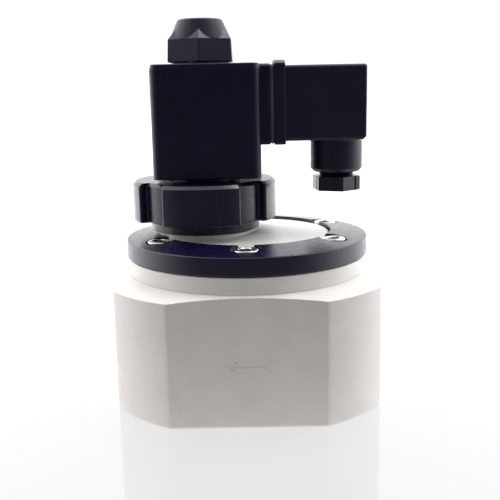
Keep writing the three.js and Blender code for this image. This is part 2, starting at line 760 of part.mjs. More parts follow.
function capNut() {
  const overlap = 0.001;
  const hex = hexBar(CAP_AF, CAP_Z, CAP_HEX_TOP, CAP_TOP_AF);
  const { height, acrossFlats } = CAP_PYRAMID;
  const pyramid = hexBar(CAP_TOP_AF, CAP_HEX_TOP - overlap, CAP_HEX_TOP + height, acrossFlats);
  const cone = turned([
    [0, CAP_Z + 1],
    [CAP_CONE_R - 1, CAP_Z + 1],
    [CAP_CONE_R, CAP_HEX_TOP],
    [CAP_TIP_R, CAP_TOP - 0.8],
    [CAP_TIP_R - 0.8, CAP_TOP],
    [0, CAP_TOP],
  ]);
  return cut(joined(hex, pyramid, cone), disc(STUD_R + GAP, CAP_Z - 1, STUD_TOP + 0.6));
}

const capWasher = () => washer(STUD_R + 0.6, CAP_WASHER_R, COIL_TOP + 0.2, CAP_Z - 0.2);

// ---- Connector ----

function connectorGasket() {
  const across = [-GASKET_HALF_Y, GASKET_HALF_Y];
  const sheet = block([GASKET_X, PLUG_X - 0.15], across, [PAD_Z + 0.3, PAD_TOP - 0.3]);
  const slots = Object.values(blades).map((blade) => bladeBar(blade, GASKET_X - 1, PLUG_X + 1, GAP));
  const screwHole = barX(CENTRE_SCREW_R + GAP, GASKET_X - 1, PLUG_X + 1, 0, PAD_MID_Z, ROD);
  return cut(sheet, ...slots, screwHole);
}

function connectorHousing() {
  const flange = block([PLUG_X, PLUG_FLANGE_X], [-PAD_HALF_Y, PAD_HALF_Y], [FLANGE_Z, FLANGE_TOP]);
  const side = new THREE.Shape([
    new THREE.Vector2(PLUG_X + 1, PLUG_Z),
    new THREE.Vector2(PLUG_END_X - PLUG_CHAMFER, PLUG_Z),
    new THREE.Vector2(PLUG_END_X, PLUG_Z + PLUG_CHAMFER),
    new THREE.Vector2(PLUG_END_X, PLUG_TOP - 0.5),
    new THREE.Vector2(PLUG_END_X - 0.5, PLUG_TOP),
    new THREE.Vector2(PLUG_X + 1, PLUG_TOP),
  ]);
  const extruded = new THREE.ExtrudeGeometry(side, { depth: 2 * PLUG_HALF_Y, bevelEnabled: false });
  const box = solid(extruded.rotateX(Math.PI / 2).translate(0, PLUG_HALF_Y, 0));
  const bossEdge = 1.4;
  const boss = turned([
    [0, GLAND_BOSS_Z],
    [GLAND_BOSS_R - bossEdge, GLAND_BOSS_Z],
    [GLAND_BOSS_R, GLAND_BOSS_Z + bossEdge],
    [GLAND_BOSS_R, PLUG_Z + 0.5],
    [0, PLUG_Z + 0.5],
  ], FINE).translate([GLAND_X, 0, 0]);
  const { halfY, bottom, top, end } = PLUG_CAVITY;
  const cavity = block([PLUG_X - 1, end], [-halfY, halfY], [bottom, top]);
  const screwBoss = barX(SCREW_BOSS_R, SCREW_BOSS_X, PLUG_END_X - 1, 0, PAD_MID_Z, MEDIUM);
  const sink = barX(SCREW_SINK_R, SCREW_SINK_X, PLUG_END_X + 1, 0, PAD_MID_Z, MEDIUM);
  const screwHole = barX(CENTRE_SCREW_R + 0.5, SCREW_BOSS_X - 1, PLUG_END_X + 1, 0, PAD_MID_Z, ROD);
  const glandBoreR = GLAND_THREAD_R + GAP;
  const glandBore = barZ(glandBoreR, GLAND_BOSS_Z - 1, GLAND_SEAL.top + GAP, GLAND_X, 0, MEDIUM);
  const cableWay = barZ(CABLE_WAY_R, GLAND_SEAL.top, bottom + 1, GLAND_X, 0, MEDIUM);
  const shell = joined(flange, box, boss).subtract(cavity).add(screwBoss);
  return cut(shell, sink, screwHole, glandBore, cableWay);
}

function terminalBlock() {
  const blockZ = [PLUG_CAVITY.bottom + GAP, PLUG_CAVITY.top - GAP];
  const body = block([BLOCK_X, BLOCK_END_X], [-BLOCK_HALF_Y, BLOCK_HALF_Y], blockZ);
  const pockets = Object.values(blades).map((blade) => (
    bladeBar(blade, BLOCK_X - 1, SOCKET_END_X + GAP, 2 * GAP, SOCKET_WALL)
  ));
  const screwHoleR = TERMINAL_SCREW.shankR + GAP;
  const screwHoles = Object.values(blades).map(({ y, z }) => (
    barX(screwHoleR, SOCKET_END_X, BLOCK_END_X + 1, y, z, ROD)
  ));
  const centreHole = barX(CENTRE_SCREW_R + 0.5, BLOCK_X - 1, BLOCK_END_X + 1, 0, PAD_MID_Z, ROD);
  return cut(body, ...pockets, ...screwHoles, centreHole);
}

function contactSocket(blade) {
  const clip = bladeBar(blade, BLOCK_X + 0.5, SOCKET_END_X, GAP, SOCKET_WALL);
  return clip.subtract(bladeBar(blade, BLOCK_X - 1, SOCKET_END_X - 2, GAP));
}

function terminalScrew({ y, z }) {
  const { shankR, headR } = TERMINAL_SCREW;
  const shank = barX(shankR, SOCKET_END_X + 1, BLOCK_END_X + GAP + 0.2, y, z);
  const head = barX(headR, BLOCK_END_X + GAP, BLOCK_END_X + 2, y, z, ROD);
  const slot = block([BLOCK_END_X + 1.3, BLOCK_END_X + 3], [y - 3, y + 3], [z - 0.4, z + 0.4]);
  return shank.add(head).subtract(slot);
}

function centreScrew() {
  const [headX, headEnd] = [SCREW_SINK_X + 1.3, PLUG_END_X - 0.2];
  const shank = barX(CENTRE_SCREW_R, COIL_END_X - 0.6, headX + 0.2, 0, PAD_MID_Z, ROD);
  const head = barX(CENTRE_SCREW_HEAD_R, headX, headEnd, 0, PAD_MID_Z, MEDIUM);
  const slot = block([headEnd - 0.8, headEnd + 1], [-4, 4], [PAD_MID_Z - 0.45, PAD_MID_Z + 0.45]);
  return shank.add(head).subtract(slot);
}

function screwSeal() {
  const ring = oRing(SCREW_SEAL, 0).rotate([0, 90, 0]);
  return ring.translate([SCREW_SINK_X + 0.65, 0, PAD_MID_Z]);
}

function glandNut() {
  const hex = hexBar(GLAND_NUT_AF, GLAND_NUT_Z, GLAND_NUT_TOP, GLAND_NUT_AF, GLAND_NUT_TURN);
  const thread = disc(GLAND_THREAD_R, GLAND_NUT_TOP - 1, GLAND_THREAD_TOP);
  const bore = disc(GLAND_BORE_R, GLAND_NUT_Z - 1, GLAND_THREAD_TOP + 1);
  return cut(hex.add(thread), bore).translate([GLAND_X, 0, 0]);
}

function glandRing({ inner, outer, bottom, top }) {
  return washer(inner, outer, bottom, top).translate([GLAND_X, 0, 0]);
}

// ---- Assembly ----

addPiece(group, "valve_body", valveBody(), "whitePlastic");
addPiece(group, "main_diaphragm", mainDiaphragm(), "rubber");
addPiece(group, "valve_disc", valveDisc(), "whitePlastic");
addPiece(group, "support_plate", supportPlate(), "whitePlastic");
addPiece(group, "disc_nut", discNut(), "whitePlastic");
addPiece(group, "main_spring", mainSpring(), "steel");
addPiece(group, "cover", cover(), "whitePlastic");
addPiece(group, "clamp_ring", clampRing(), "blackPlastic");
boltPlaces.forEach(([x, y], i) => {
  addPiece(group, `flange_screw_${i + 1}`, socketScrew().translate([x, y, 0]), "steel");
});

addPiece(pilot, "union_nut", unionNut(), "blackPlastic");
addPiece(pilot, "tube_seal", oRing(TUBE_SEAL, BOSS_TOP - TUBE_SEAL.sectionR), "rubber");
addPiece(pilot, "armature_tube", armatureTube(), "blackPlastic");
addPiece(pilot, "fixed_core", fixedCore(), "magneticSteel");
addPiece(pilot, "shading_ring", shadingRing(), "copper");
addPiece(pilot, "plunger", plunger(), "magneticSteel");
addPiece(pilot, "plunger_seal", plungerSeal(), "rubber");
addPiece(pilot, "plunger_spring", plungerSpring(), "steel");

addPiece(pilot, "coil_housing", coilHousing(), "blackPlastic");
addPiece(pilot, "coil_yoke", coilYoke(), "magneticSteel");
addPiece(pilot, "coil_bobbin", coilBobbin(), "insertPlastic");
addPiece(pilot, "coil_winding", coilWinding(), "copper");
Object.entries(blades).forEach(([name, blade]) => {
  addPiece(pilot, name, bladeBar(blade, BLADE.inner, BLADE.outer, 0), "brass");
});
addPiece(pilot, "cap_washer", capWasher(), "greyRubber");
addPiece(pilot, "cap_nut", capNut(), "blackPlastic");

addPiece(pilot, "connector_gasket", connectorGasket(), "greyRubber");
addPiece(pilot, "connector_housing", connectorHousing(), "blackPlastic");
addPiece(pilot, "terminal_block", terminalBlock(), "insertPlastic");
Object.values(blades).forEach((blade, i) => {
  addPiece(pilot, `contact_socket_${i + 1}`, contactSocket(blade), "brass");
  addPiece(pilot, `terminal_screw_${i + 1}`, terminalScrew(blade), "steel");
});
addPiece(pilot, "centre_screw", centreScrew(), "steel");
addPiece(pilot, "screw_seal", screwSeal(), "rubber");
addPiece(pilot, "gland_nut", glandNut(), "blackPlastic");
addPiece(pilot, "gland_washer", glandRing(GLAND_WASHER), "insertPlastic");
addPiece(pilot, "gland_seal", glandRing(GLAND_SEAL), "rubber");

export default group;
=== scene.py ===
import json
from math import acos, atan2, cos, hypot, pi, radians, sin, tan

import bmesh
import bpy
from mathutils import Matrix, Quaternion, Vector


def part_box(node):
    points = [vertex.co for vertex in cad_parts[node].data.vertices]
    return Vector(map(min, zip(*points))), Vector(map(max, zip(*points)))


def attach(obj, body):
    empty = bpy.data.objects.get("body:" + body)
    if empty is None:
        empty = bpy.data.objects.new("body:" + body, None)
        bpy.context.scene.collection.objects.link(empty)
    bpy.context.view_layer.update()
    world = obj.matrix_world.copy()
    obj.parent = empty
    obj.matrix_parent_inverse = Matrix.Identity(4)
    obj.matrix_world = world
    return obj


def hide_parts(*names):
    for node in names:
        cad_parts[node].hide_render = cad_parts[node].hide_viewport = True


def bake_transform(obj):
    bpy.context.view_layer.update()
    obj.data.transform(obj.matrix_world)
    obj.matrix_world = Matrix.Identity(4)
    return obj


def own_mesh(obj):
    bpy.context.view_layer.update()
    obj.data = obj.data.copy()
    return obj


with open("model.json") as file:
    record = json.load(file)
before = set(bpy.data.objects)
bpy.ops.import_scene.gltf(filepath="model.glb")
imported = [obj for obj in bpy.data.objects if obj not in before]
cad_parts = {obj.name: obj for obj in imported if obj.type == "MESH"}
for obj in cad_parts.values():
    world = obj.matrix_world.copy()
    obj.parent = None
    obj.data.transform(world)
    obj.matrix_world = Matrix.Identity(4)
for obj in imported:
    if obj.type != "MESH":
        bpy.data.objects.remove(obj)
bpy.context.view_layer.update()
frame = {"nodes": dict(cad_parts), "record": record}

# The looks of a servo-assisted solenoid valve: white body and cover, black clamp ring, union nut, coil and
# connector. Most CAD nodes are replaced by a detailed piece. The others keep their shape and get a finish.
# Sizes below are millimetres, unless they say otherwise. build() turns them into metres.

MM = 0.001


def box(node):
    """A CAD node's lowest and highest corners, in millimetres."""
    lo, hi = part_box(node)
    return lo / MM, hi / MM


def middle(node):
    lo, hi = box(node)
    return (lo + hi) / 2


PILOT_X = middle("union_nut").x
GLAND_X = middle("gland_nut").x
SCREW_Z = middle("centre_screw").z

ROUND = 128  # points round a turned piece
SMALL_ROUND = 48  # points round a bolt or hole
ARC_STEPS = 6  # steps in a rounded corner
LEAST_R = 0.05  # rounding that is left of a rectangle's corner when it is inset
STUB = 0.01  # straight piece beyond a rounded edge, which its arc starts from
SMOOTH_ANGLE = radians(24)  # sharper edges than this stay crisp
CAP_SMOOTH_ANGLE = radians(12)  # the cap nut's facets and cone meet at a shallower angle
FLATS_WEIGHT = 80  # how far a large face keeps its own normal beside a small one
SLIVER = 0.001  # edges shorter than this are closed up after the booleans
POINT_MERGE = 1e-4  # points of a new mesh that are nearer than this become one
GAP = 0.3  # clearance between neighbouring pieces, as in the CAD
OVERLAP = 1.0  # how far a cutting tool runs past the face it cuts


# ---- Mesh tools ----


def build(name, rings, wrap=False):
    """Skins rings that have equal numbers of points. The ends are capped unless the skin wraps round."""
    bm = bmesh.new()
    levels = [[bm.verts.new(Vector(point) * MM) for point in ring] for ring in rings]
    pairs = list(zip(levels, levels[1:]))
    if wrap:
        pairs.append((levels[-1], levels[0]))
    else:
        bm.faces.new(levels[0][::-1])
        bm.faces.new(levels[-1])
    for lower, upper in pairs:
        for i in range(len(lower)):
            j = (i + 1) % len(lower)
            bm.faces.new((lower[i], lower[j], upper[j], upper[i]))
    bmesh.ops.remove_doubles(bm, verts=bm.verts, dist=POINT_MERGE * MM)
    bmesh.ops.dissolve_degenerate(bm, edges=bm.edges, dist=POINT_MERGE * MM / 10)
    bmesh.ops.recalc_face_normals(bm, faces=bm.faces)
    mesh = bpy.data.meshes.new(name)
    bm.to_mesh(mesh)
    bm.free()
    piece = bpy.data.objects.new(name, mesh)
    bpy.context.scene.collection.objects.link(piece)
    return piece


def turns(count):
    return [2 * pi * i / count for i in range(count)]


def lathe(name, profile, at=(0, 0), wrap=False, count=ROUND):
    """A turned piece about Z from (radius, z) points."""
    x, y = at
    rings = [[(x + r * cos(a), y + r * sin(a), z) for a in turns(count)] for r, z in profile]
    return build(name, rings, wrap)


def rounded(corners, closed=False, steps=ARC_STEPS):
    """Points along (a, b, radius) corners, each with an arc of its radius. A radius may be left out."""
    points = []
    last = len(corners) - 1
    for i, corner in enumerate(corners):
        here = Vector(corner[:2])
        radius = corner[2] if len(corner) > 2 else 0
        if not radius or (not closed and i in (0, last)):
            points.append(tuple(here))
            continue
        before = (Vector(corners[i - 1][:2]) - here).normalized()
        after = (Vector(corners[(i + 1) % len(corners)][:2]) - here).normalized()
        half = before.angle(after) / 2
        centre = here + (before + after).normalized() * radius / sin(half)
        start = here + before * radius / tan(half) - centre
        end = here + after * radius / tan(half) - centre
        sweep = pi - 2 * half
        for step in range(steps + 1):
            t = step / steps
            spoke = (start * sin((1 - t) * sweep) + end * sin(t * sweep)) / sin(sweep)
            points.append(tuple(centre + spoke))
    return points


def edge_rows(z0, z1, low=0.3, high=0.3):
    """(inset, z) rows for an upright side with rounded lower and upper edges."""
    return rounded([(low + STUB, z0), (0, z0, low), (0, z1, high), (high + STUB, z1)])


def prism(name, outline, rows):
    """A shape whose outline(inset) is stacked at each (inset, z) row."""
    return build(name, [[(x, y, z) for x, y in outline(inset)] for inset, z in rows])


def rectangle(half_x, half_y, radius, centre=(0, 0)):
    """An outline function for a rounded rectangle."""

    def outline(inset):
        x, y = half_x - inset, half_y - inset
        r = max(radius - inset, LEAST_R)
        corners = [(x, -y, r), (x, y, r), (-x, y, r), (-x, -y, r)]
        return [(a + centre[0], b + centre[1]) for a, b in rounded(corners, closed=True)]

    return outline


def hexagon(across_flats, radius=0.5, centre=(0, 0), turn=0.0):
    """An outline function for a hexagon with a corner towards -Y, after a turn."""

    def outline(inset):
        corner_r = (across_flats / 2 - inset) / cos(pi / 6)
        spokes = [turn - pi / 2 + i * pi / 3 for i in range(6)]
        corners = [(corner_r * cos(a), corner_r * sin(a), radius) for a in spokes]
        return [(a + centre[0], b + centre[1]) for a, b in rounded(corners, closed=True)]

    return outline


def block(name, x, y, z, radius=0.0):
    """A block from (low, high) pairs, with its upright edges rounded by the radius."""
    half = ((x[1] - x[0]) / 2, (y[1] - y[0]) / 2)
    outline = rectangle(*half, radius, (x[0] + half[0], y[0] + half[1]))
    return prism(name, outline, [(0, z[0]), (0, z[1])])


def rod(name, radius, z0, z1, at=(0, 0), count=SMALL_ROUND):
    return lathe(name, [(radius, z0), (radius, z1)], at, count=count)


def thread(root_r, crest_r, z, stop, pitch):
    """A screw thread drawn as rings: its (radius, z) points from z to past the stop, and where it ends."""
    points = []
    while z < stop:
        points += [(root_r, z), (crest_r, z + pitch / 2)]
        z += pitch
    return points, z


def onto_x(piece):
    """Turns a piece made along Z so that it lies along X. Its x goes to y, and its y to z."""
    piece.data.transform(Matrix(((0, 0, 1, 0), (1, 0, 0, 0), (0, 1, 0, 0), (0, 0, 0, 1))))
    return piece


def rod_x(name, radius, x0, x1, y, z, count=SMALL_ROUND):
    return onto_x(rod(name, radius, x0, x1, (y, z), count))


def combine(piece, operation, tools):
    """Joins the tools to the piece, cuts them out of it or keeps what they share. The tools are used up."""
    for tool in tools:
        modifier = piece.modifiers.new("combine", "BOOLEAN")
        modifier.operation = operation
        modifier.object = tool
        modifier.solver = "MANIFOLD"
    graph = bpy.context.evaluated_depsgraph_get()
    mesh = bpy.data.meshes.new_from_object(piece.evaluated_get(graph))
    piece.modifiers.clear()
    piece.data = mesh
    for tool in tools:
        bpy.data.objects.remove(tool)
    return piece


def join(piece, *tools):
    return combine(piece, "UNION", tools)


def cut(piece, *tools):
    return combine(piece, "DIFFERENCE", tools)


def drop_slivers(piece):
    """Removes the triangles without area that booleans leave."""
    bm = bmesh.new()
    bm.from_mesh(piece.data)
    bmesh.ops.remove_doubles(bm, verts=bm.verts, dist=SLIVER * MM)
    bmesh.ops.dissolve_degenerate(bm, edges=bm.edges, dist=SLIVER * MM)
    bm.to_mesh(piece.data)
    bm.free()


def shade(piece, smooth_angle=SMOOTH_ANGLE):
    """Smooth shading with crisp edges, and flats that stay flat beside rounded edges."""
    piece.data.shade_smooth()
    piece.data.set_sharp_from_angle(angle=smooth_angle)
    normals = piece.modifiers.new("flats", "WEIGHTED_NORMAL")
    normals.keep_sharp = True
    normals.weight = FLATS_WEIGHT


def body_of(node):
    return next(name for name, members in frame["record"]["behaviour"]["bodies"].items() if node in members)


def slot_of(node):
    return next(part["material_slot"] for part in frame["record"]["subparts"] if part["node"] == node)


def settle(piece, node, material, blended=False, smooth_angle=SMOOTH_ANGLE):
    """Finishes a piece: it is painted, rides on its node's body and stands for that node."""
    piece.data.materials.clear()
    piece.data.materials.append(material)
    drop_slivers(piece)
    shade(piece, smooth_angle)
    if not blended:
        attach(piece, body_of(node))
    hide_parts(node)
    return piece


# ---- Materials ----


def surface(name, dark, light, rough, grain, depth, metallic=0.0, specular=0.5, edge_wear_and_highlight=None, lines=None):
    """A procedural finish: mottled colour, uneven roughness, grain, tool lines and lighter edges, partly worn
    and partly a painted highlight.

    dark and light are the two tones, rough the lowest and highest roughness, grain the size of the grain and
    depth its height, both in millimetres. edge_wear_and_highlight is (tone, width in millimetres) along
    convex
    edges: a lighter tone that is partly wear and partly a painted highlight. lines is
    (direction, pitch, height) of turned or milled lines, where the direction is RINGS or an axis.
    """
    material = bpy.data.materials.new(name)
    material.use_nodes = True
    nodes, links = material.node_tree.nodes, material.node_tree.links
    shader = nodes["Principled BSDF"]
    shader.inputs["Metallic"].default_value = metallic
    shader.inputs["Specular IOR Level"].default_value = specular
    place = nodes.new("ShaderNodeTexCoord").outputs["Object"]

    def noise(size, detail=3.0, roughness=0.55):
        node = nodes.new("ShaderNodeTexNoise")
        node.inputs["Scale"].default_value = 1 / (size * MM)
        node.inputs["Detail"].default_value = detail
        node.inputs["Roughness"].default_value = roughness
        links.new(place, node.inputs["Vector"])
        return node.outputs["Fac"]

    def spread(value, low, high, to_low, to_high):
        node = nodes.new("ShaderNodeMapRange")
        node.interpolation_type = "SMOOTHSTEP"
        for key, number in zip(("From Min", "From Max", "To Min", "To Max"), (low, high, to_low, to_high)):
            node.inputs[key].default_value = number
        links.new(value, node.inputs["Value"])
        return node.outputs["Result"]

    def mix(factor, first, second):
        node = nodes.new("ShaderNodeMix")
        node.data_type = "RGBA"
        links.new(factor, node.inputs["Factor"])
        for key, tone in (("A", first), ("B", second)):
            socket = next(s for s in node.inputs if s.name == key and s.type == "RGBA")
            if isinstance(tone, tuple):
                socket.default_value = (*tone, 1)
            else:
                links.new(tone, socket)
        return next(s for s in node.outputs if s.type == "RGBA")

    def calculate(operation, first, second):
        node = nodes.new("ShaderNodeMath")
        node.operation = operation
        node.use_clamp = True
        for socket, value in zip(node.inputs, (first, second)):
            if isinstance(value, float):
                socket.default_value = value
            else:
                links.new(value, socket)
        return node.outputs["Value"]

    def bump(height, distance, normal=None):
        node = nodes.new("ShaderNodeBump")
        node.inputs["Distance"].default_value = distance * MM
        links.new(height, node.inputs["Height"])
        if normal:
            links.new(normal, node.inputs["Normal"])
        return node.outputs["Normal"]

    mottle = noise(size=9.0, detail=4.0)
    smears = noise(size=2.2, detail=5.0, roughness=0.65)
    waviness = noise(size=14.0, detail=1.0)
    colour = mix(spread(mottle, 0.35, 0.65, 0, 1), dark, light)
    roughness = spread(smears, 0.3, 0.7, *rough)
    relief = bump(noise(size=grain, detail=2.0), depth)
    relief = bump(waviness, depth * 4, relief)
    if lines:
        direction, pitch, height = lines
        wave = nodes.new("ShaderNodeTexWave")
        wave.wave_type = "RINGS" if direction == "RINGS" else "BANDS"
        if direction == "RINGS":
            wave.rings_direction = "Z"
        else:
            wave.bands_direction = direction
        wave.inputs["Scale"].default_value = pi / (10 * pitch * MM)  # at scale 1 a line comes every pi / 10
        wave.inputs["Distortion"].default_value = 0.6
        wave.inputs["Detail Scale"].default_value = 0.2
        links.new(place, wave.inputs["Vector"])
        relief = bump(wave.outputs["Fac"], height, relief)
    # Lighter convex edges: partly wear, partly a painted highlight where the edges would catch the light.
    if edge_wear_and_highlight:
        tone, width = edge_wear_and_highlight
        bevel = nodes.new("ShaderNodeBevel")
        bevel.samples = 4
        bevel.inputs["Radius"].default_value = width * MM
        dot = nodes.new("ShaderNodeVectorMath")
        dot.operation = "DOT_PRODUCT"
        links.new(bevel.outputs["Normal"], dot.inputs[0])
        links.new(nodes.new("ShaderNodeNewGeometry").outputs["Normal"], dot.inputs[1])
        edge = spread(dot.outputs["Value"], 0.995, 0.9, 0, 1)
        patches = spread(noise(size=1.6, detail=4.0), 0.42, 0.62, 0.15, 1)
        worn_and_highlit_edge = calculate("MULTIPLY", edge, patches)
        colour = mix(worn_and_highlit_edge, colour, tone)
        roughness = calculate("ADD", roughness, calculate("MULTIPLY", worn_and_highlit_edge, 0.12))
    links.new(colour, shader.inputs["Base Color"])
    links.new(roughness, shader.inputs["Roughness"])
    links.new(relief, shader.inputs["Normal"])
    return material


# Its light edge tone is mostly a painted highlight, which makes the base chamfer a bright band.
white_turned = surface(
    "white_turned", (0.76, 0.716, 0.69), (0.79, 0.75, 0.727), (0.36, 0.48), 0.35, 0.005,
    edge_wear_and_highlight=((0.93, 0.93, 0.925), 0.5), lines=("RINGS", 0.45, 0.003),
)
white_moulded = surface(
    "white_moulded", (0.78, 0.75, 0.73), (0.81, 0.785, 0.765), (0.34, 0.46), 0.3, 0.005,
    edge_wear_and_highlight=((0.86, 0.85, 0.84), 0.4),
)
# The black finishes' lighter edge tones are partly a painted highlight along their rims.
black_satin = surface(
    "black_satin", (0.0045, 0.0022, 0.021), (0.006, 0.0033, 0.026), (0.22, 0.32), 0.3, 0.0025,
    specular=0.5, edge_wear_and_highlight=((0.035, 0.032, 0.05), 0.25),
)
black_grained = surface(
    "black_grained", (0.0045, 0.0022, 0.021), (0.0065, 0.0035, 0.026), (0.38, 0.5), 0.22, 0.01,
    specular=0.42, edge_wear_and_highlight=((0.05, 0.048, 0.065), 0.35),
)
cap_plastic = surface(
    "cap_plastic", (0.011, 0.007, 0.028), (0.015, 0.01, 0.035), (0.3, 0.42), 0.25, 0.009,
    specular=0.32, edge_wear_and_highlight=((0.09, 0.085, 0.1), 0.3),
)
coil_resin = surface(
    "coil_resin", (0.004, 0.0018, 0.02), (0.006, 0.003, 0.026), (0.32, 0.44), 0.28, 0.011,
    specular=0.36, edge_wear_and_highlight=((0.045, 0.043, 0.058), 0.4),
)
black_rubber = surface("black_rubber", (0.012, 0.012, 0.014), (0.02, 0.02, 0.023), (0.6, 0.8), 0.25, 0.01)
grey_rubber = surface("grey_rubber", (0.2, 0.2, 0.215), (0.27, 0.27, 0.285), (0.5, 0.68), 0.25, 0.01)
gasket_rubber = surface("gasket_rubber", (0.075, 0.068, 0.09), (0.1, 0.092, 0.12), (0.5, 0.68), 0.25, 0.01)
insert_plastic = surface(
    "insert_plastic", (0.018, 0.018, 0.022), (0.03, 0.03, 0.035), (0.38, 0.52), 0.25, 0.008,
    edge_wear_and_highlight=((0.09, 0.09, 0.1), 0.3),
)
stainless = surface(
    "stainless", (0.56, 0.55, 0.54), (0.7, 0.69, 0.68), (0.16, 0.3), 0.12, 0.003, metallic=1.0,
    edge_wear_and_highlight=((0.85, 0.85, 0.84), 0.25), lines=("Z", 0.18, 0.003),
)
magnetic_steel = surface(
    "magnetic_steel", (0.36, 0.36, 0.37), (0.5, 0.5, 0.51), (0.28, 0.42), 0.15, 0.004, metallic=1.0,
    edge_wear_and_highlight=((0.7, 0.7, 0.7), 0.3), lines=("Z", 0.25, 0.004),
)
copper = surface(
    "copper", (0.62, 0.24, 0.11), (0.8, 0.36, 0.18), (0.25, 0.4), 0.2, 0.003, metallic=1.0,
)
brass = surface(
    "brass", (0.62, 0.45, 0.16), (0.75, 0.57, 0.24), (0.2, 0.34), 0.15, 0.003, metallic=1.0,
    edge_wear_and_highlight=((0.88, 0.74, 0.4), 0.25),
)

# ---- Valve body ----

BODY_R = 54.0
SHOULDER_Z = 43.0
BODY_TOP_R = 47.3
PORT_Z = 21.5
PORT_R = 15.15
PORT_END = 29.2
CHANNEL_R = 11.5
SEAT_R = 12.0
SEAT_OUTER_R = 15.0
SEAT_TOP = 38.5
CHAMBER_R = 27.0
CHAMBER_FLOOR = 33.0
RIM_R = 32.3
RIM_FLOOR = 43.2
BASE_CHAMFER = 0.9
THREAD_PITCH = 2.309  # G1
THREAD_DEPTH = 1.3
BOLT_HOLE_R = 2.8
BOLT_HOLE_END = 29.5
DRAIN_X = -29.6
DRAIN_R = 1.2
DRAIN_Z = 30.5
SCREWS = range(1, 7)  # numbers in the names of the flange screws
bolt_places = [tuple(middle(f"flange_screw_{number}").xy) for number in SCREWS]


def body_ring(radius, z, inset=0.0):
    """A level of the valve body: a circle with four flats, whose corners are slightly eased."""
    ease, flat_steps, arc_steps = 0.35, 4, 22
    half = box("valve_body")[1]
    points = []
    for quarter in range(4):
        flats = (half.x - inset, half.y - inset)
        here, beyond = flats if quarter % 2 == 0 else flats[::-1]
        start = acos(min(1.0, here / radius))
        stop = pi / 2 - acos(min(1.0, beyond / radius))
        reach = radius * sin(start)
        eased = min(ease, reach)
        stop_eased = min(ease, radius * cos(stop))
        level = []
        for i in range(flat_steps + 1):
            t = 2 * i / flat_steps - 1
            level.append((min(here, radius), t * (reach - eased)))
        first, last = start + eased / radius, stop - stop_eased / radius
        for i in range(arc_steps + 1):
            angle = first + (last - first) * i / arc_steps
            level.append((radius * cos(angle), radius * sin(angle)))
        c, s = cos(quarter * pi / 2), sin(quarter * pi / 2)
        points += [(x * c - y * s, x * s + y * c, z) for x, y in level]
    return points


def thread_tool(side):
    """The shape cut by a tapped port: its bore, thread and mouth, from its bottom out through the face."""
    face = box("valve_body")[1].x
    step = THREAD_PITCH / 8
    mouth = 1.65
    plain, fading = 1.5, 2.5  # lengths at the bottom without thread, and where it runs out
    count = 96
    rings = []
    levels = int((face + OVERLAP - PORT_END) / step) + 1
    for i in range(levels + 1):
        x = PORT_END + i * step
        fade = min(1.0, max(0.0, (x - PORT_END - plain) / fading))
        flare = max(0.0, x - (face - mouth))
        ring = []
        for a in turns(count):
            phase = (x / THREAD_PITCH - side * a / (2 * pi)) % 1
            tooth = min(1.0, max(0.0, 1.6 - 4 * abs(phase - 0.5)))  # sloping flanks and a flat top
            radius = PORT_R + max(THREAD_DEPTH * fade * tooth, flare)
            ring.append((side * x, radius * cos(a), PORT_Z + radius * sin(a)))
        rings.append(ring)
    return build("thread_tool", rings)


def arrow_tool():
    """The flow arrow engraved in the front face: a slim head, a shaft and a forked tail."""
    front = box("valve_body")[0].y
    depth = 0.18
    tail = [(4.0 + 3.2 * t, 0.45 + 1.9 * t * t) for t in (0.0, 0.25, 0.5, 0.75, 1.0)]
    upper = [(-7.6, 0.0), (-3.0, 2.3), (-3.3, 1.4), (-4.8, 0.45), *tail, (8.2, 1.8), (6.4, 0.0)]
    lower = [(x, -y) for x, y in upper[1:-1]][::-1]
    outline = [(x, PORT_Z + z) for x, z in upper + lower]
    levels = (front - OVERLAP, front + depth)
    return build("arrow_tool", [[(x, y, z) for x, z in outline] for y in levels])


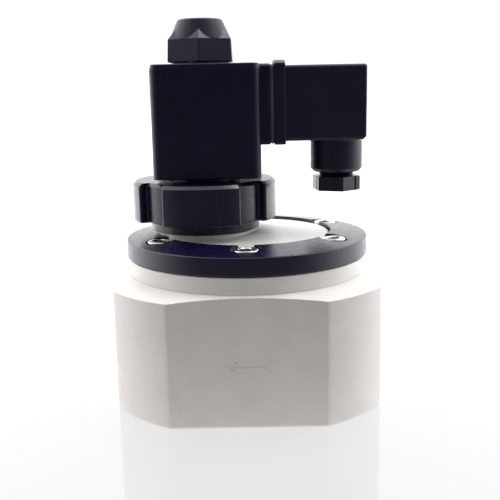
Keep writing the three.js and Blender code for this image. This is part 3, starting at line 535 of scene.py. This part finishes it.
def valve_body():
    hi = box("valve_body")[1]
    foot = rounded([
        (BODY_R - BASE_CHAMFER - 1, 0),
        (BODY_R - BASE_CHAMFER, 0, 0.25),
        (BODY_R, BASE_CHAMFER, 0.25),
        (BODY_R, SHOULDER_Z - 1),
    ])
    rings = [body_ring(r, z, BODY_R - r) for r, z in foot]
    shoulder_steps = 16  # close rings, because the flats cut the cone in curves
    edge = 0.35
    slope = (hi.z - SHOULDER_Z) / (BODY_R - BODY_TOP_R)
    rings.append(body_ring(BODY_R, SHOULDER_Z - edge * 0.6))
    rings.append(body_ring(BODY_R - edge * 0.3, SHOULDER_Z - edge * 0.1))
    for i in range(shoulder_steps + 1):
        radius = BODY_R - edge - (BODY_R - edge - BODY_TOP_R) * i / shoulder_steps
        rings.append(body_ring(radius, SHOULDER_Z + (BODY_R - radius) * slope))
    piece = build("valve_body_piece", rings)
    chamber = lathe("chamber", [
        (0, SEAT_TOP),
        *rounded([
            (SEAT_R - 1, SEAT_TOP),
            (SEAT_OUTER_R, SEAT_TOP, 0.6),
            (SEAT_OUTER_R, CHAMBER_FLOOR, 1.0),
            (CHAMBER_R, CHAMBER_FLOOR, 1.5),
            (CHAMBER_R, RIM_FLOOR, 0.3),
            (RIM_R, RIM_FLOOR),
            (RIM_R, hi.z + OVERLAP),
        ]),
        (0, hi.z + OVERLAP),
    ])
    channel_floor = PORT_Z - CHANNEL_R
    half = CHANNEL_R - 0.5
    pocket_x = (SEAT_OUTER_R + 1.5, PORT_END + OVERLAP)
    pocket = block("pocket", pocket_x, (-half, half), (channel_floor, CHAMBER_FLOOR + 1), 3.0)
    channel = rod_x("channel", CHANNEL_R, -PORT_END - OVERLAP, 0, 0, PORT_Z, 96)
    seat = rod("seat", SEAT_R, channel_floor, SEAT_TOP + 1, count=96)
    drain = rod("drain", DRAIN_R, DRAIN_Z, hi.z + OVERLAP, (DRAIN_X, 0))
    holes = [rod("hole", BOLT_HOLE_R, BOLT_HOLE_END, hi.z + OVERLAP, place) for place in bolt_places]
    tools = [chamber, pocket, channel, seat, drain, *holes, thread_tool(1), thread_tool(-1), arrow_tool()]
    return settle(cut(piece, *tools), "valve_body", white_turned)


# ---- Cover, clamp ring and flange screws ----

HUB_R = 30.6
HUB_TOP = 57.4
DOME_TOP = 59.4
BOSS_R = 19.0
COVER_FLANGE_TOP = 50.4
BOSS_SHOULDER_Z = 59.8
BOSS_THREAD_R = 17.6
BOSS_BORE_R = 13.0
BOSS_FLOOR = 61.0
DRAIN_DROP_TOP = 47.6
SCREW_HEAD_H = 5.0


def cover():
    lo, hi = box("cover")
    at = (PILOT_X, 0)
    edge = 0.4
    foot_z = box("valve_body")[1].z + 0.05
    brim_z = HUB_TOP + 0.9  # where the dome starts, at the boss's radius
    dome = [(BOSS_R * (1 - t), brim_z + (DOME_TOP - brim_z) * t * (2 - t)) for t in (0.3, 0.6, 1.0)]
    plate = lathe("cover_piece", [(0, lo.z), *rounded([
        (RIM_R + 1, lo.z),
        (RIM_R + 1, foot_z),
        (hi.x, foot_z, 0.15),
        (hi.x, COVER_FLANGE_TOP, edge),
        (HUB_R, COVER_FLANGE_TOP, edge),
        (HUB_R, HUB_TOP + 0.25, 0.7),
        (BOSS_R, brim_z),
    ]), *dome])
    foot = lathe("foot", [
        (0, HUB_TOP - 2), (BOSS_R, HUB_TOP - 2), (BOSS_R, BOSS_SHOULDER_Z), (0, BOSS_SHOULDER_Z),
    ], at)
    combine(foot, "INTERSECT", [rod("hub_limit", HUB_R, 0, hi.z, count=ROUND)])
    boss = lathe("boss", [(0, BOSS_SHOULDER_Z - 1.5), *rounded([
        (BOSS_THREAD_R, BOSS_SHOULDER_Z - 1.5),
        (BOSS_THREAD_R, hi.z, 0.5),
        (BOSS_BORE_R, hi.z),
    ]), (0, hi.z)], at)
    join(plate, foot, boss)
    rim_roof, chamber_roof, well_rim, well_r, well_roof = 46.3, 49, 54, 8, 56.3
    chamber = lathe("pressure_chamber", [
        (0, lo.z - OVERLAP), (RIM_R, lo.z - OVERLAP), (RIM_R, rim_roof), (CHAMBER_R, rim_roof),
        (CHAMBER_R, chamber_roof), (BOSS_BORE_R, well_rim), (well_r, well_rim), (well_r, well_roof),
        (0, well_roof),
    ])
    bore = rod("bore", BOSS_BORE_R, BOSS_FLOOR, hi.z + OVERLAP, at, ROUND)
    groove_in, groove_out, groove_z, groove_end = 14.1, 16.5, hi.z - 1.7, hi.z + OVERLAP
    groove = lathe("groove", [
        (groove_in, groove_z), (groove_out, groove_z), (groove_out, groove_end), (groove_in, groove_end),
    ], at, wrap=True)
    feed = rod("feed", 0.8, well_rim + 1, BOSS_FLOOR + 1, (PILOT_X + 8, 0), 16)
    drain = rod("drain", DRAIN_R, lo.z - OVERLAP, DRAIN_DROP_TOP, (DRAIN_X, 0), 24)
    holes = [
        rod("hole", BOLT_HOLE_R, lo.z - OVERLAP, COVER_FLANGE_TOP + 1, place) for place in bolt_places
    ]
    cut(plate, chamber, bore, groove, feed, drain, *holes)
    seat_foot_r, seat_r, seat_bore_r, seat_top = 4, 2, 0.9, 63
    seat = lathe("pilot_seat", [
        (0, BOSS_FLOOR - 0.5), (seat_foot_r, BOSS_FLOOR - 0.5), (seat_r, seat_top), (seat_bore_r, seat_top),
        (seat_bore_r, BOSS_FLOOR + 0.2), (0, BOSS_FLOOR),
    ], at, count=SMALL_ROUND)
    join(plate, seat)
    return settle(plate, "cover", white_moulded)


def clamp_ring():
    lo, hi = box("clamp_ring")
    inner, outer_edge_z = 31.0, 57.0
    ring = lathe("clamp_ring_piece", rounded([
        (inner, lo.z, 0.3),
        (hi.x, lo.z, 0.4),
        (hi.x, outer_edge_z, 0.55),
        (inner, hi.z, 0.35),
    ], closed=True), wrap=True, count=192)
    pocket_r, pocket_mouth_r, mouth_z = 4.8, 5.15, 57.3
    seat_z = box("flange_screw_1")[1].z - SCREW_HEAD_H - 0.2
    tools = []
    for place in bolt_places:
        tools.append(rod("hole", BOLT_HOLE_R, lo.z - OVERLAP, hi.z + OVERLAP, place))
        tools.append(lathe("counterbore", [
            (pocket_r, seat_z), (pocket_r, mouth_z), (pocket_mouth_r, mouth_z + 0.45),
            (pocket_mouth_r, hi.z + OVERLAP),
        ], place, count=64))
    return settle(cut(ring, *tools), "clamp_ring", black_satin)


def flange_screw(number):
    """A socket head screw with a threaded end, turned to an angle of its own."""
    node = f"flange_screw_{number}"
    lo, hi = box(node)
    at = tuple(middle(node).xy)
    head_r, shank_r = (hi.x - lo.x) / 2, 2.5
    head_z = hi.z - SCREW_HEAD_H
    turned, thread_end = thread(shank_r - 0.35, shank_r, lo.z + 0.5, head_z - 9, pitch=0.8)
    screw = lathe(f"{node}_piece", [
        (0, lo.z), (shank_r - 0.6, lo.z), *turned, (shank_r - 0.1, thread_end), (shank_r - 0.1, head_z),
        *rounded([(head_r - 0.5, head_z), (head_r, head_z, 0.2), (head_r, hi.z, 0.55), (head_r - 1.1, hi.z)]),
        (2.75, hi.z), (2.45, hi.z - 0.3), (0, hi.z - 0.3),
    ], at, count=64)
    socket_outline = hexagon(4.0, 0.1, at, radians(12 + 37 * number))
    socket = prism("socket", socket_outline, [(0, hi.z - 2.6), (0, hi.z + OVERLAP)])
    return settle(cut(screw, socket), node, stainless)


# ---- Union nut, armature tube and cap nut ----


def lobed_outline():
    """Points of the union nut's outline as (angle, radius): four lugs with rounded corners."""
    lug_r, lug_rounding, lug_steps = 26.2, 0.9, 8
    web_r, web_rounding, web_steps = 23.2, 0.7, 4
    half_lug = radians(32)
    corners = []
    for lug in range(4):
        centre = lug * pi / 2 - pi / 2
        for i in range(lug_steps + 1):
            angle = centre - half_lug + 2 * half_lug * i / lug_steps
            corners.append((lug_r, angle, lug_rounding if i in (0, lug_steps) else 0))
        for i in range(web_steps + 1):
            angle = centre + half_lug + (pi / 2 - 2 * half_lug) * i / web_steps
            corners.append((web_r, angle, web_rounding if i in (0, web_steps) else 0))
    flat = rounded([(r * cos(a), r * sin(a), radius) for r, a, radius in corners], closed=True)
    return [(atan2(y, x), hypot(x, y)) for x, y in flat]


def union_nut():
    lo, hi = box("union_nut")
    skirt_r, bore_r, lip_r = 20.0, 18.0, 13.6
    lug_z, lip_z, chamfer = 63.8, 74.1, 1.2
    outline = lobed_outline()
    angles = [angle for angle, radius in outline]

    def circle(radius, z):
        return [(PILOT_X + radius * cos(a), radius * sin(a), z) for a in angles]

    def lobes(inset, z):
        return [(PILOT_X + (r - inset) * cos(a), (r - inset) * sin(a), z) for a, r in outline]

    skirt = rounded([(bore_r + 0.5, lo.z), (skirt_r, lo.z, 0.3), (skirt_r, lug_z)])
    side = rounded([
        (2.4, lug_z), (0, lug_z, 0.5), (0, hi.z - chamfer, 0.35), (chamfer, hi.z, 0.35), (chamfer + 1, hi.z),
    ])
    inside = rounded([
        (lip_r + 1, hi.z), (lip_r, hi.z, 0.4), (lip_r, lip_z, 0.2), (bore_r, lip_z, 0.4), (bore_r, lo.z),
    ])
    rings = [circle(r, z) for r, z in skirt]
    rings += [lobes(inset, z) for inset, z in side]
    rings += [circle(r, z) for r, z in inside]
    nut = build("union_nut_piece", rings, wrap=True)
    return settle(nut, "union_nut", black_satin)


def armature_tube():
    lo, hi = box("armature_tube")
    flange_r, flange_z, flange_top = 17.2, 69.8, 73.8
    neck_r, neck_top = 13.2, box("coil_housing")[0].z - GAP
    tube_r, bore_r, spigot_r = 6.9, 5.4, 12.7
    tube = lathe("armature_tube_piece", rounded([
        (bore_r, lo.z, 0.2), (spigot_r, lo.z, 0.5), (spigot_r, flange_z), (flange_r, flange_z, 0.3),
        (flange_r, flange_top, 0.4), (neck_r, flange_top, 0.2), (neck_r, neck_top, 0.5),
        (tube_r, neck_top, 0.3), (tube_r, hi.z, 0.3), (bore_r, hi.z, 0.2),
    ], closed=True), (PILOT_X, 0), wrap=True)
    return settle(tube, "armature_tube", black_satin)


def cap_nut():
    """A domed cap: a hexagon whose corners run up into a cone as small pyramid facets."""
    lo, hi = box("cap_nut")
    hex_top, pyramid_top = 127.4, 131.6
    flats, top_flats, pyramid_flats = 22.7, 22.0, 15.2
    tip_r, bore_r, bore_top = 7.8, 4.3, 130.6
    at = (PILOT_X, 0)
    rows = rounded([
        (0.5, lo.z), (0, lo.z, 0.35), ((flats - top_flats) / 2, hex_top, 0.15),
        ((flats - pyramid_flats) / 2, pyramid_top),
    ])
    cap = prism("cap_nut_piece", hexagon(flats, 0.3, at), rows)
    cone = lathe("cone", [(0, lo.z + 1), *rounded([
        (10.1, lo.z + 1), (11.1, hex_top, 0.8), (tip_r, hi.z, 1.2), (4.0, hi.z),
    ]), (0, hi.z)], at)
    join(cap, cone)
    bore = rod("bore", bore_r, lo.z - OVERLAP, bore_top, at, 64)
    recess = lathe("recess", [
        (0, lo.z - OVERLAP), (9.5, lo.z - OVERLAP), (8.3, lo.z + 0.5), (0, lo.z + 0.5),
    ], at)
    return settle(cut(cap, bore, recess), "cap_nut", cap_plastic, smooth_angle=CAP_SMOOTH_ANGLE)


def cap_washer():
    lo, hi = box("cap_washer")
    inner, outer = 4.6, (hi.x - lo.x) / 2
    ring = lathe("cap_washer_piece", rounded([
        (inner, lo.z, 0.1), (outer, lo.z, 0.25), (outer, hi.z, 0.25), (inner, hi.z, 0.1),
    ], closed=True), (PILOT_X, 0), wrap=True, count=96)
    return settle(ring, "cap_washer", grey_rubber)


# ---- Coil ----

COIL_HALF_X = 18.95
COIL_MID_X = PILOT_X + 2.05
BLADES = ("contact_blade_1", "contact_blade_2", "earth_blade")
SCREW_WAY_R = 1.8  # bore for the centre screw's threaded end


def blade_slot(node, x0, x1, margin):
    """The rectangular way that a contact blade passes through."""
    lo, hi = box(node)
    return block("slot", (x0, x1), (lo.y - margin, hi.y + margin), (lo.z - margin, hi.z + margin))


def coil_housing():
    lo, hi = box("coil_housing")
    pad_z0, pad_z1, pad_half_y = 90.7, 118.5, 14.0
    coil_end = COIL_MID_X + COIL_HALF_X
    root = coil_end - 4  # the pad's inner end, and that of the blades' slots
    outline = rectangle(COIL_HALF_X, hi.y, 3.0, (COIL_MID_X, 0))
    rows = rounded([
        (0.8, lo.z), (0, lo.z, 0.5), (0, hi.z - 2.0, 0.8), (0.5, hi.z - 0.1, 0.45), (1.4, hi.z),
    ])
    coil = prism("coil_housing_piece", outline, rows)
    pad_outline = rectangle(pad_half_y, (pad_z1 - pad_z0) / 2, 1.6, (0, (pad_z0 + pad_z1) / 2))
    pad = onto_x(prism("pad", pad_outline, rounded([(0, root), (0, hi.x, 0.35), (1, hi.x)])))
    join(coil, pad)
    cavity_half_x, cavity_half_y = 16.6, 15.9
    cavity_x = (COIL_MID_X - cavity_half_x, COIL_MID_X + cavity_half_x)
    cavity = block("cavity", cavity_x, (-cavity_half_y, cavity_half_y), (82.0, 115.6), 1.0)
    bore = rod("bore", 7.3, lo.z - OVERLAP, hi.z + OVERLAP, (PILOT_X, 0), 96)
    slots = [blade_slot(node, root, hi.x + OVERLAP, GAP) for node in BLADES]
    screw_hole = rod_x("screw_hole", SCREW_WAY_R, coil_end - 0.9, hi.x + OVERLAP, 0, SCREW_Z)
    return settle(cut(coil, cavity, bore, *slots, screw_hole), "coil_housing", coil_resin)


def contact_blade(node):
    """A flat blade whose free end is bevelled to lead into its socket."""
    lo, hi = box(node)
    half_y, half_z = (hi.y - lo.y) / 2, (hi.z - lo.z) / 2
    lead = 0.25
    outline = rectangle(half_y, half_z, 0.12, ((lo.y + hi.y) / 2, (lo.z + hi.z) / 2))
    rows = [(0, lo.x), (0, hi.x - 1.2), (lead * 0.5, hi.x - 0.4), (lead, hi.x)]
    return settle(onto_x(prism(f"{node}_piece", outline, rows)), node, brass)


# ---- Connector ----

PLUG_FLANGE_X = 29.7  # from the pilot's axis to the flange's outer face
PLUG_FLANGE_Z = 90.6
PLUG_TOP = 117.8
PLUG_Z = 91.8
PLUG_HALF_Y = 13.4
GLAND_BOSS_R = 9.4


def connector_gasket():
    lo, hi = box("connector_gasket")
    z = (lo.z + hi.z) / 2
    outline = rectangle(hi.y, (hi.z - lo.z) / 2, 1.4, (0, z))
    rows = rounded([(0.3, lo.x), (0, lo.x, 0.15), (0, hi.x, 0.15), (0.3, hi.x)])
    sheet = onto_x(prism("connector_gasket_piece", outline, rows))
    slots = [blade_slot(node, lo.x - OVERLAP, hi.x + OVERLAP, GAP) for node in BLADES]
    screw_hole = rod_x("screw_hole", SCREW_WAY_R, lo.x - OVERLAP, hi.x + OVERLAP, 0, SCREW_Z)
    return settle(cut(sheet, *slots, screw_hole), "connector_gasket", gasket_rubber)


def connector_housing():
    """A square cap with a flange whose top edge is crowned, and a boss below for the cable gland."""
    lo, hi = box("connector_housing")
    crown, crown_y, brow = hi.z - 0.6, 10.0, hi.z - 1.7  # the top edge is level to crown_y, then falls

    def flange_outline(inset):
        y, top, low = hi.y - inset, brow - inset, PLUG_FLANGE_Z + inset
        upper = [(y, top, 0.5), (crown_y, crown - inset, 3.0)]
        corners = [(-y, low, 1.2), (y, low, 1.2), *upper, *[(-a, b, r) for a, b, r in upper[::-1]]]
        return rounded(corners, closed=True)

    flange_x = PILOT_X + PLUG_FLANGE_X
    plug = onto_x(prism("connector_housing_piece", flange_outline, edge_rows(lo.x, flange_x, 0.25, 0.45)))
    case_outline = rectangle(PLUG_HALF_Y, (PLUG_TOP - PLUG_Z) / 2, 1.3, (0, (PLUG_TOP + PLUG_Z) / 2))
    case_rows = rounded([(0, lo.x + 1), (0, hi.x, 0.9), (2, hi.x)])
    case = onto_x(prism("case", case_outline, case_rows))
    flare_r, boss_top = GLAND_BOSS_R + 0.45, PLUG_Z + 0.5
    boss = lathe("boss", [(0, lo.z), *rounded([
        (GLAND_BOSS_R - 3, lo.z), (GLAND_BOSS_R - 1.1, lo.z, 0.5), (GLAND_BOSS_R, lo.z + 1.3, 0.6),
        (GLAND_BOSS_R, PLUG_Z - 0.45, 0.3), (flare_r, PLUG_Z, 0.2), (flare_r, boss_top),
    ]), (0, boss_top)], (GLAND_X, 0))
    join(plug, case, boss)
    chamfer = 1.4  # of the lower edge of the outer face
    out_x, out_y, below = hi.x + OVERLAP, PLUG_HALF_Y + OVERLAP, PLUG_Z - OVERLAP
    corner = [(hi.x - chamfer - OVERLAP, below), (out_x, below), (out_x, PLUG_Z + chamfer + OVERLAP)]
    wedge = build("wedge", [[(x, y, z) for x, z in corner] for y in (-out_y, out_y)])
    cavity_x, cavity_half_y, cavity_z = (lo.x - OVERLAP, hi.x - 2.5), 12.2, (93.6, 115.4)
    cut(plug, block("cavity", cavity_x, (-cavity_half_y, cavity_half_y), cavity_z, 0.8))
    screw_boss_x, sink_x = PILOT_X + 50.6, PILOT_X + 54.5
    join(plug, rod_x("screw_boss", 5, screw_boss_x, hi.x - 1, 0, SCREW_Z, 64))
    sink = rod_x("sink", 3.8, sink_x, hi.x + OVERLAP, 0, SCREW_Z, 64)
    screw_hole = rod_x("screw_hole", 2.0, screw_boss_x - OVERLAP, hi.x + OVERLAP, 0, SCREW_Z)
    gland_top = 91.3
    gland = rod("gland", 6.9, lo.z - OVERLAP, gland_top, (GLAND_X, 0), 64)
    way = rod("way", 5, gland_top - 0.3, cavity_z[0] + OVERLAP, (GLAND_X, 0), 64)
    return settle(cut(plug, wedge, sink, screw_hole, gland, way), "connector_housing", black_grained)


def centre_screw():
    """The plug's fixing screw: a cheese head with a slot, a plain shank and a threaded end."""
    lo, hi = box("centre_screw")
    shank_r, head_r, head_x = 1.5, (hi.z - lo.z) / 2, hi.x - 1.5
    turned, thread_end = thread(shank_r - 0.25, shank_r, lo.x + 0.4, lo.x + 12, pitch=0.5)
    screw = lathe("centre_screw_piece", [
        (0, lo.x), (shank_r - 0.4, lo.x), *turned, (shank_r - 0.05, thread_end), (shank_r - 0.05, head_x),
        *rounded([(head_r - 0.4, head_x), (head_r, head_x, 0.15), (head_r, hi.x, 0.35), (1.0, hi.x)]),
        (0, hi.x),
    ], (0, SCREW_Z), count=SMALL_ROUND)
    slot_half_z, slot_half_y = 0.45, 4
    slot_z = (SCREW_Z - slot_half_z, SCREW_Z + slot_half_z)
    slot = block("slot", (hi.x - 0.8, hi.x + OVERLAP), (-slot_half_y, slot_half_y), slot_z)
    return settle(cut(onto_x(screw), slot), "centre_screw", stainless)


def gland_nut():
    """The cable gland's hexagonal nut, with a groove down each face, a bell mouth and a threaded sleeve."""
    lo, hi = box("gland_nut")
    flats, hex_top, bore_r, sleeve_r, root_r = 15.6, 78.3, 4.3, 6.6, 6.05
    turn = radians(10)
    at = (GLAND_X, 0)
    nut = prism("gland_nut_piece", hexagon(flats, 0.5, at, turn), edge_rows(lo.z, hex_top, 0.45, 0.35))
    turned = thread(root_r, sleeve_r, hex_top - 0.8, hi.z - 1.5, pitch=1.5)[0]
    join(nut, lathe("sleeve", [
        (0, hex_top - 1), (root_r, hex_top - 1), *turned, (root_r, hi.z), (0, hi.z),
    ], at, count=96))
    groove_r, groove_out, groove_along = 0.55, 0.15, 1.9
    grooves = []
    for face in range(6):
        angle = turn - pi / 3 + face * pi / 3
        along, out = Vector((-sin(angle), cos(angle))), Vector((cos(angle), sin(angle)))
        centre = Vector(at) + out * (flats / 2 + groove_out) + along * groove_along
        grooves.append(rod("groove", groove_r, lo.z - OVERLAP, hex_top + OVERLAP, tuple(centre), 16))
    mouth = lathe("mouth", [
        (0, lo.z - OVERLAP), (bore_r + 2, lo.z - OVERLAP), (bore_r + 0.8, lo.z), (bore_r, lo.z + 1),
        (bore_r, hi.z + OVERLAP), (0, hi.z + OVERLAP),
    ], at, count=64)
    return settle(cut(nut, mouth, *grooves), "gland_nut", black_satin)


# ---- Inner pieces ----


def spring(node, coil_r, wire_r, coils):
    """A compression spring with closed ends. It shortens as its joint opens, but this piece keeps one length.
    """
    lo, hi = box(node)
    centre = middle(node)
    sides, steps = 12, 36
    flat_end = 0.08  # length that lies flat at each end, as a share of the length that rises
    total = int(coils * steps)
    rings = []
    for i in range(total + 1):
        t = i / total
        angle = 2 * pi * coils * t
        free = min(1.0, max(0.0, t * (1 + 2 * flat_end) - flat_end))
        rise = 0.5 - 0.5 * cos(pi * free)
        z = lo.z + wire_r + (hi.z - lo.z - 2 * wire_r) * rise
        out, up = Vector((cos(angle), sin(angle), 0)), Vector((0, 0, 1))
        core = Vector((centre.x, centre.y, z)) + out * coil_r
        rings.append([core + (out * cos(a) + up * sin(a)) * wire_r for a in turns(sides)])
    piece = settle(build(f"{node}_piece", rings), node, stainless)
    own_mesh(piece)
    return piece


def main_diaphragm():
    """The moulded diaphragm: its rim is clamped and its web rolled. Its web lifts with the main valve, but
    this piece keeps one shape.
    """
    hole, web, roll_in, roll_out, rim_in, rim_out = 4.3, 17.0, 19.0, 25.5, 27.6, 32.0
    low, high = 41.3, 42.5
    rim_low, rim_high = 43.5, 46.0
    profile = rounded([
        (hole, low, 0.2), (web, low, 0.6), (roll_in, low - 0.6, 1.2), (roll_out, low + 0.7, 1.5),
        (rim_in, rim_low, 0.4), (rim_out, rim_low, 0.4), (rim_out, rim_high, 0.4), (rim_in, rim_high, 0.5),
        (roll_out, rim_high - 2.4, 1.2), (roll_in, high - 1.2, 1.2), (web, high, 0.6), (hole, high, 0.2),
    ], closed=True)
    membrane = lathe("main_diaphragm_piece", profile, wrap=True)
    piece = settle(membrane, "main_diaphragm", black_rubber, blended=True)
    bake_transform(piece)
    return piece


def coil_winding():
    """The winding: its outer layer shows even turns of enamelled copper wire."""
    lo, hi = box("coil_winding")
    outer, inner = (hi.y - lo.y) / 2, 8.9
    wire = 0.5
    count = int((hi.z - lo.z) / wire)
    pitch = (hi.z - lo.z) / count
    profile = [(inner, hi.z), (inner, lo.z)]
    for i in range(count):
        for t in (0.0, 0.25, 0.5, 0.75):
            profile.append((outer - wire / 2 * (1 - sin(pi * t)), lo.z + (i + t) * pitch))
    profile.append((outer - wire / 2, hi.z))
    winding = lathe("coil_winding_piece", profile, (PILOT_X, 0), wrap=True, count=72)
    return settle(winding, "coil_winding", copper)


def paint_cad_nodes():
    """Gives a finish to each CAD node that stays, by its material slot in the record."""
    finishes = {
        "white_plastic": white_moulded,
        "black_plastic": black_satin,
        "coil_resin": coil_resin,
        "connector_plastic": black_grained,
        "insert_plastic": insert_plastic,
        "black_rubber": black_rubber,
        "grey_rubber": grey_rubber,
        "stainless_steel": stainless,
        "magnetic_steel": magnetic_steel,
        "copper": copper,
        "brass": brass,
    }
    for name, node in frame["nodes"].items():
        if not node.hide_render:
            node.data.materials.clear()
            node.data.materials.append(finishes[slot_of(name)])


# ---- Stage, light and camera ----

LIT_POINT = (0, 0, 60)  # what the softboxes point at
# The camera sees a pale floor and white surroundings. What they light, and what mirrors them, gets other
# strengths: dim in front of the valve, and bright beside and behind it.
FLOOR_SEEN = 0.65
FLOOR_FRONT = 0.12
FLOOR_BACK = 1.2
SKY_SEEN_FRONT = 0.9
SKY_SEEN_BACK = 1.1
SKY_FRONT = 0.07
SKY_SIDES = 2.4
SKY_BACK = 1.6


def seen_or_lit(nodes, links, seen, lit):
    """One strength where the camera looks straight at a thing, another for its light and reflections."""
    choice = nodes.new("ShaderNodeMix")
    links.new(nodes.new("ShaderNodeLightPath").outputs["Is Camera Ray"], choice.inputs["Factor"])
    links.new(lit, choice.inputs["A"])
    if isinstance(seen, float):
        choice.inputs["B"].default_value = seen
    else:
        links.new(seen, choice.inputs["B"])
    return choice.outputs["Result"]


def ramp(nodes, links, value, start, stop, low, high):
    """A smooth change from low to high as a value goes from start to stop."""
    spread = nodes.new("ShaderNodeMapRange")
    spread.interpolation_type = "SMOOTHSTEP"
    for key, number in (("From Min", start), ("From Max", stop), ("To Min", low), ("To Max", high)):
        spread.inputs[key].default_value = number
    links.new(value, spread.inputs["Value"])
    return spread.outputs["Result"]


def floor():
    """A pale glossy floor, which shows a faint reflection of the valve."""
    half, top_z = 4000.0, -0.05  # just below the base, so that the two faces don't coincide
    corners = [(-half, -half), (half, -half), (half, half), (-half, half)]
    plane = build("floor", [[(x, y, z) for x, y in corners] for z in (top_z - 1, top_z)])
    material = bpy.data.materials.new("floor")
    material.use_nodes = True
    nodes, links = material.node_tree.nodes, material.node_tree.links
    shader = nodes["Principled BSDF"]
    shader.inputs["Base Color"].default_value = (0.08, 0.08, 0.08, 1)
    shader.inputs["Emission Color"].default_value = (1, 1, 1, 1)
    place = nodes.new("ShaderNodeSeparateXYZ")
    links.new(nodes.new("ShaderNodeTexCoord").outputs["Object"], place.inputs[0])
    dim_to, bright_from = -0.2, 0.08  # metres in front of the valve's axis and behind it
    lit = ramp(nodes, links, place.outputs["Y"], dim_to, bright_from, FLOOR_FRONT, FLOOR_BACK)
    links.new(seen_or_lit(nodes, links, FLOOR_SEEN, lit), shader.inputs["Emission Strength"])
    noise = nodes.new("ShaderNodeTexNoise")
    noise.inputs["Scale"].default_value = 6
    roughness = ramp(nodes, links, noise.outputs["Fac"], 0.0, 1.0, 0.05, 0.08)
    links.new(roughness, shader.inputs["Roughness"])
    plane.data.materials.append(material)


def surroundings():
    """The white surroundings, whose light comes mostly from beside and behind."""
    world = bpy.data.worlds.new("studio")
    bpy.context.scene.world = world
    world.use_nodes = True
    nodes, links = world.node_tree.nodes, world.node_tree.links
    direction = nodes.new("ShaderNodeSeparateXYZ")
    links.new(nodes.new("ShaderNodeTexCoord").outputs["Generated"], direction.inputs[0])
    sides = ramp(nodes, links, direction.outputs["Y"], -0.8, 0.3, SKY_FRONT, SKY_SIDES)
    less = ramp(nodes, links, direction.outputs["Y"], 0.5, 1.0, 0.0, SKY_SIDES - SKY_BACK)
    lit = nodes.new("ShaderNodeMath")
    lit.operation = "SUBTRACT"
    links.new(sides, lit.inputs[0])
    links.new(less, lit.inputs[1])
    seen = ramp(nodes, links, direction.outputs["Y"], -0.6, 0.3, SKY_SEEN_FRONT, SKY_SEEN_BACK)
    links.new(seen_or_lit(nodes, links, seen, lit.outputs[0]), nodes["Background"].inputs["Strength"])
    nodes["Background"].inputs["Color"].default_value = (1, 1, 1, 1)


def softbox(name, place, size, radiance, mirrored=False):
    """A square soft light that points at the valve, which mirrors it only where that is asked for."""
    light = bpy.data.lights.new(name, "AREA")
    light.shape = "SQUARE"
    light.size = size * MM
    light.energy = radiance * pi * (size * MM) ** 2  # the watts that give this radiance
    lamp = bpy.data.objects.new(name, light)
    lamp.location = Vector(place) * MM
    lamp.rotation_mode = "QUATERNION"
    lamp.rotation_quaternion = (Vector(LIT_POINT) - Vector(place)).to_track_quat("-Z", "Y")
    lamp.visible_glossy = mirrored
    bpy.context.scene.collection.objects.link(lamp)


def camera():
    """Stands in front of the valve and above its middle, looks slightly down and is rolled a little."""
    place = (3.2, -294.4, 110.8)
    pitch, yaw, roll = radians(11.55), radians(0.42), radians(1.15)
    data = bpy.data.cameras.new("camera")
    data.lens = 57.6
    data.sensor_width = 36.0
    data.clip_start, data.clip_end = 0.01, 20.0
    view = bpy.data.objects.new("camera", data)
    bpy.context.scene.collection.objects.link(view)
    view.location = Vector(place) * MM
    forward = Vector((-sin(yaw) * cos(pitch), cos(yaw) * cos(pitch), -sin(pitch)))
    view.rotation_mode = "QUATERNION"
    view.rotation_quaternion = Quaternion(forward, roll) @ forward.to_track_quat("-Z", "Y")
    bpy.context.scene.camera = view


valve_body()
cover()
clamp_ring()
for number in SCREWS:
    flange_screw(number)
union_nut()
armature_tube()
cap_nut()
cap_washer()
coil_housing()
for node in BLADES:
    contact_blade(node)
connector_gasket()
connector_housing()
centre_screw()
gland_nut()
spring("main_spring", coil_r=11.0, wire_r=0.6, coils=3.5)
spring("plunger_spring", coil_r=2.4, wire_r=0.4, coils=7.0)
main_diaphragm()
coil_winding()
paint_cad_nodes()

floor()
surroundings()
softbox("right", (420, 260, 330), size=260, radiance=5.5)
softbox("key", (303, 87, 688), size=130, radiance=14.0, mirrored=True)
softbox("left", (-420, 230, 330), size=260, radiance=4.0)
camera()

settings = bpy.context.scene.view_settings
settings.view_transform = "Standard"
settings.look = "None"
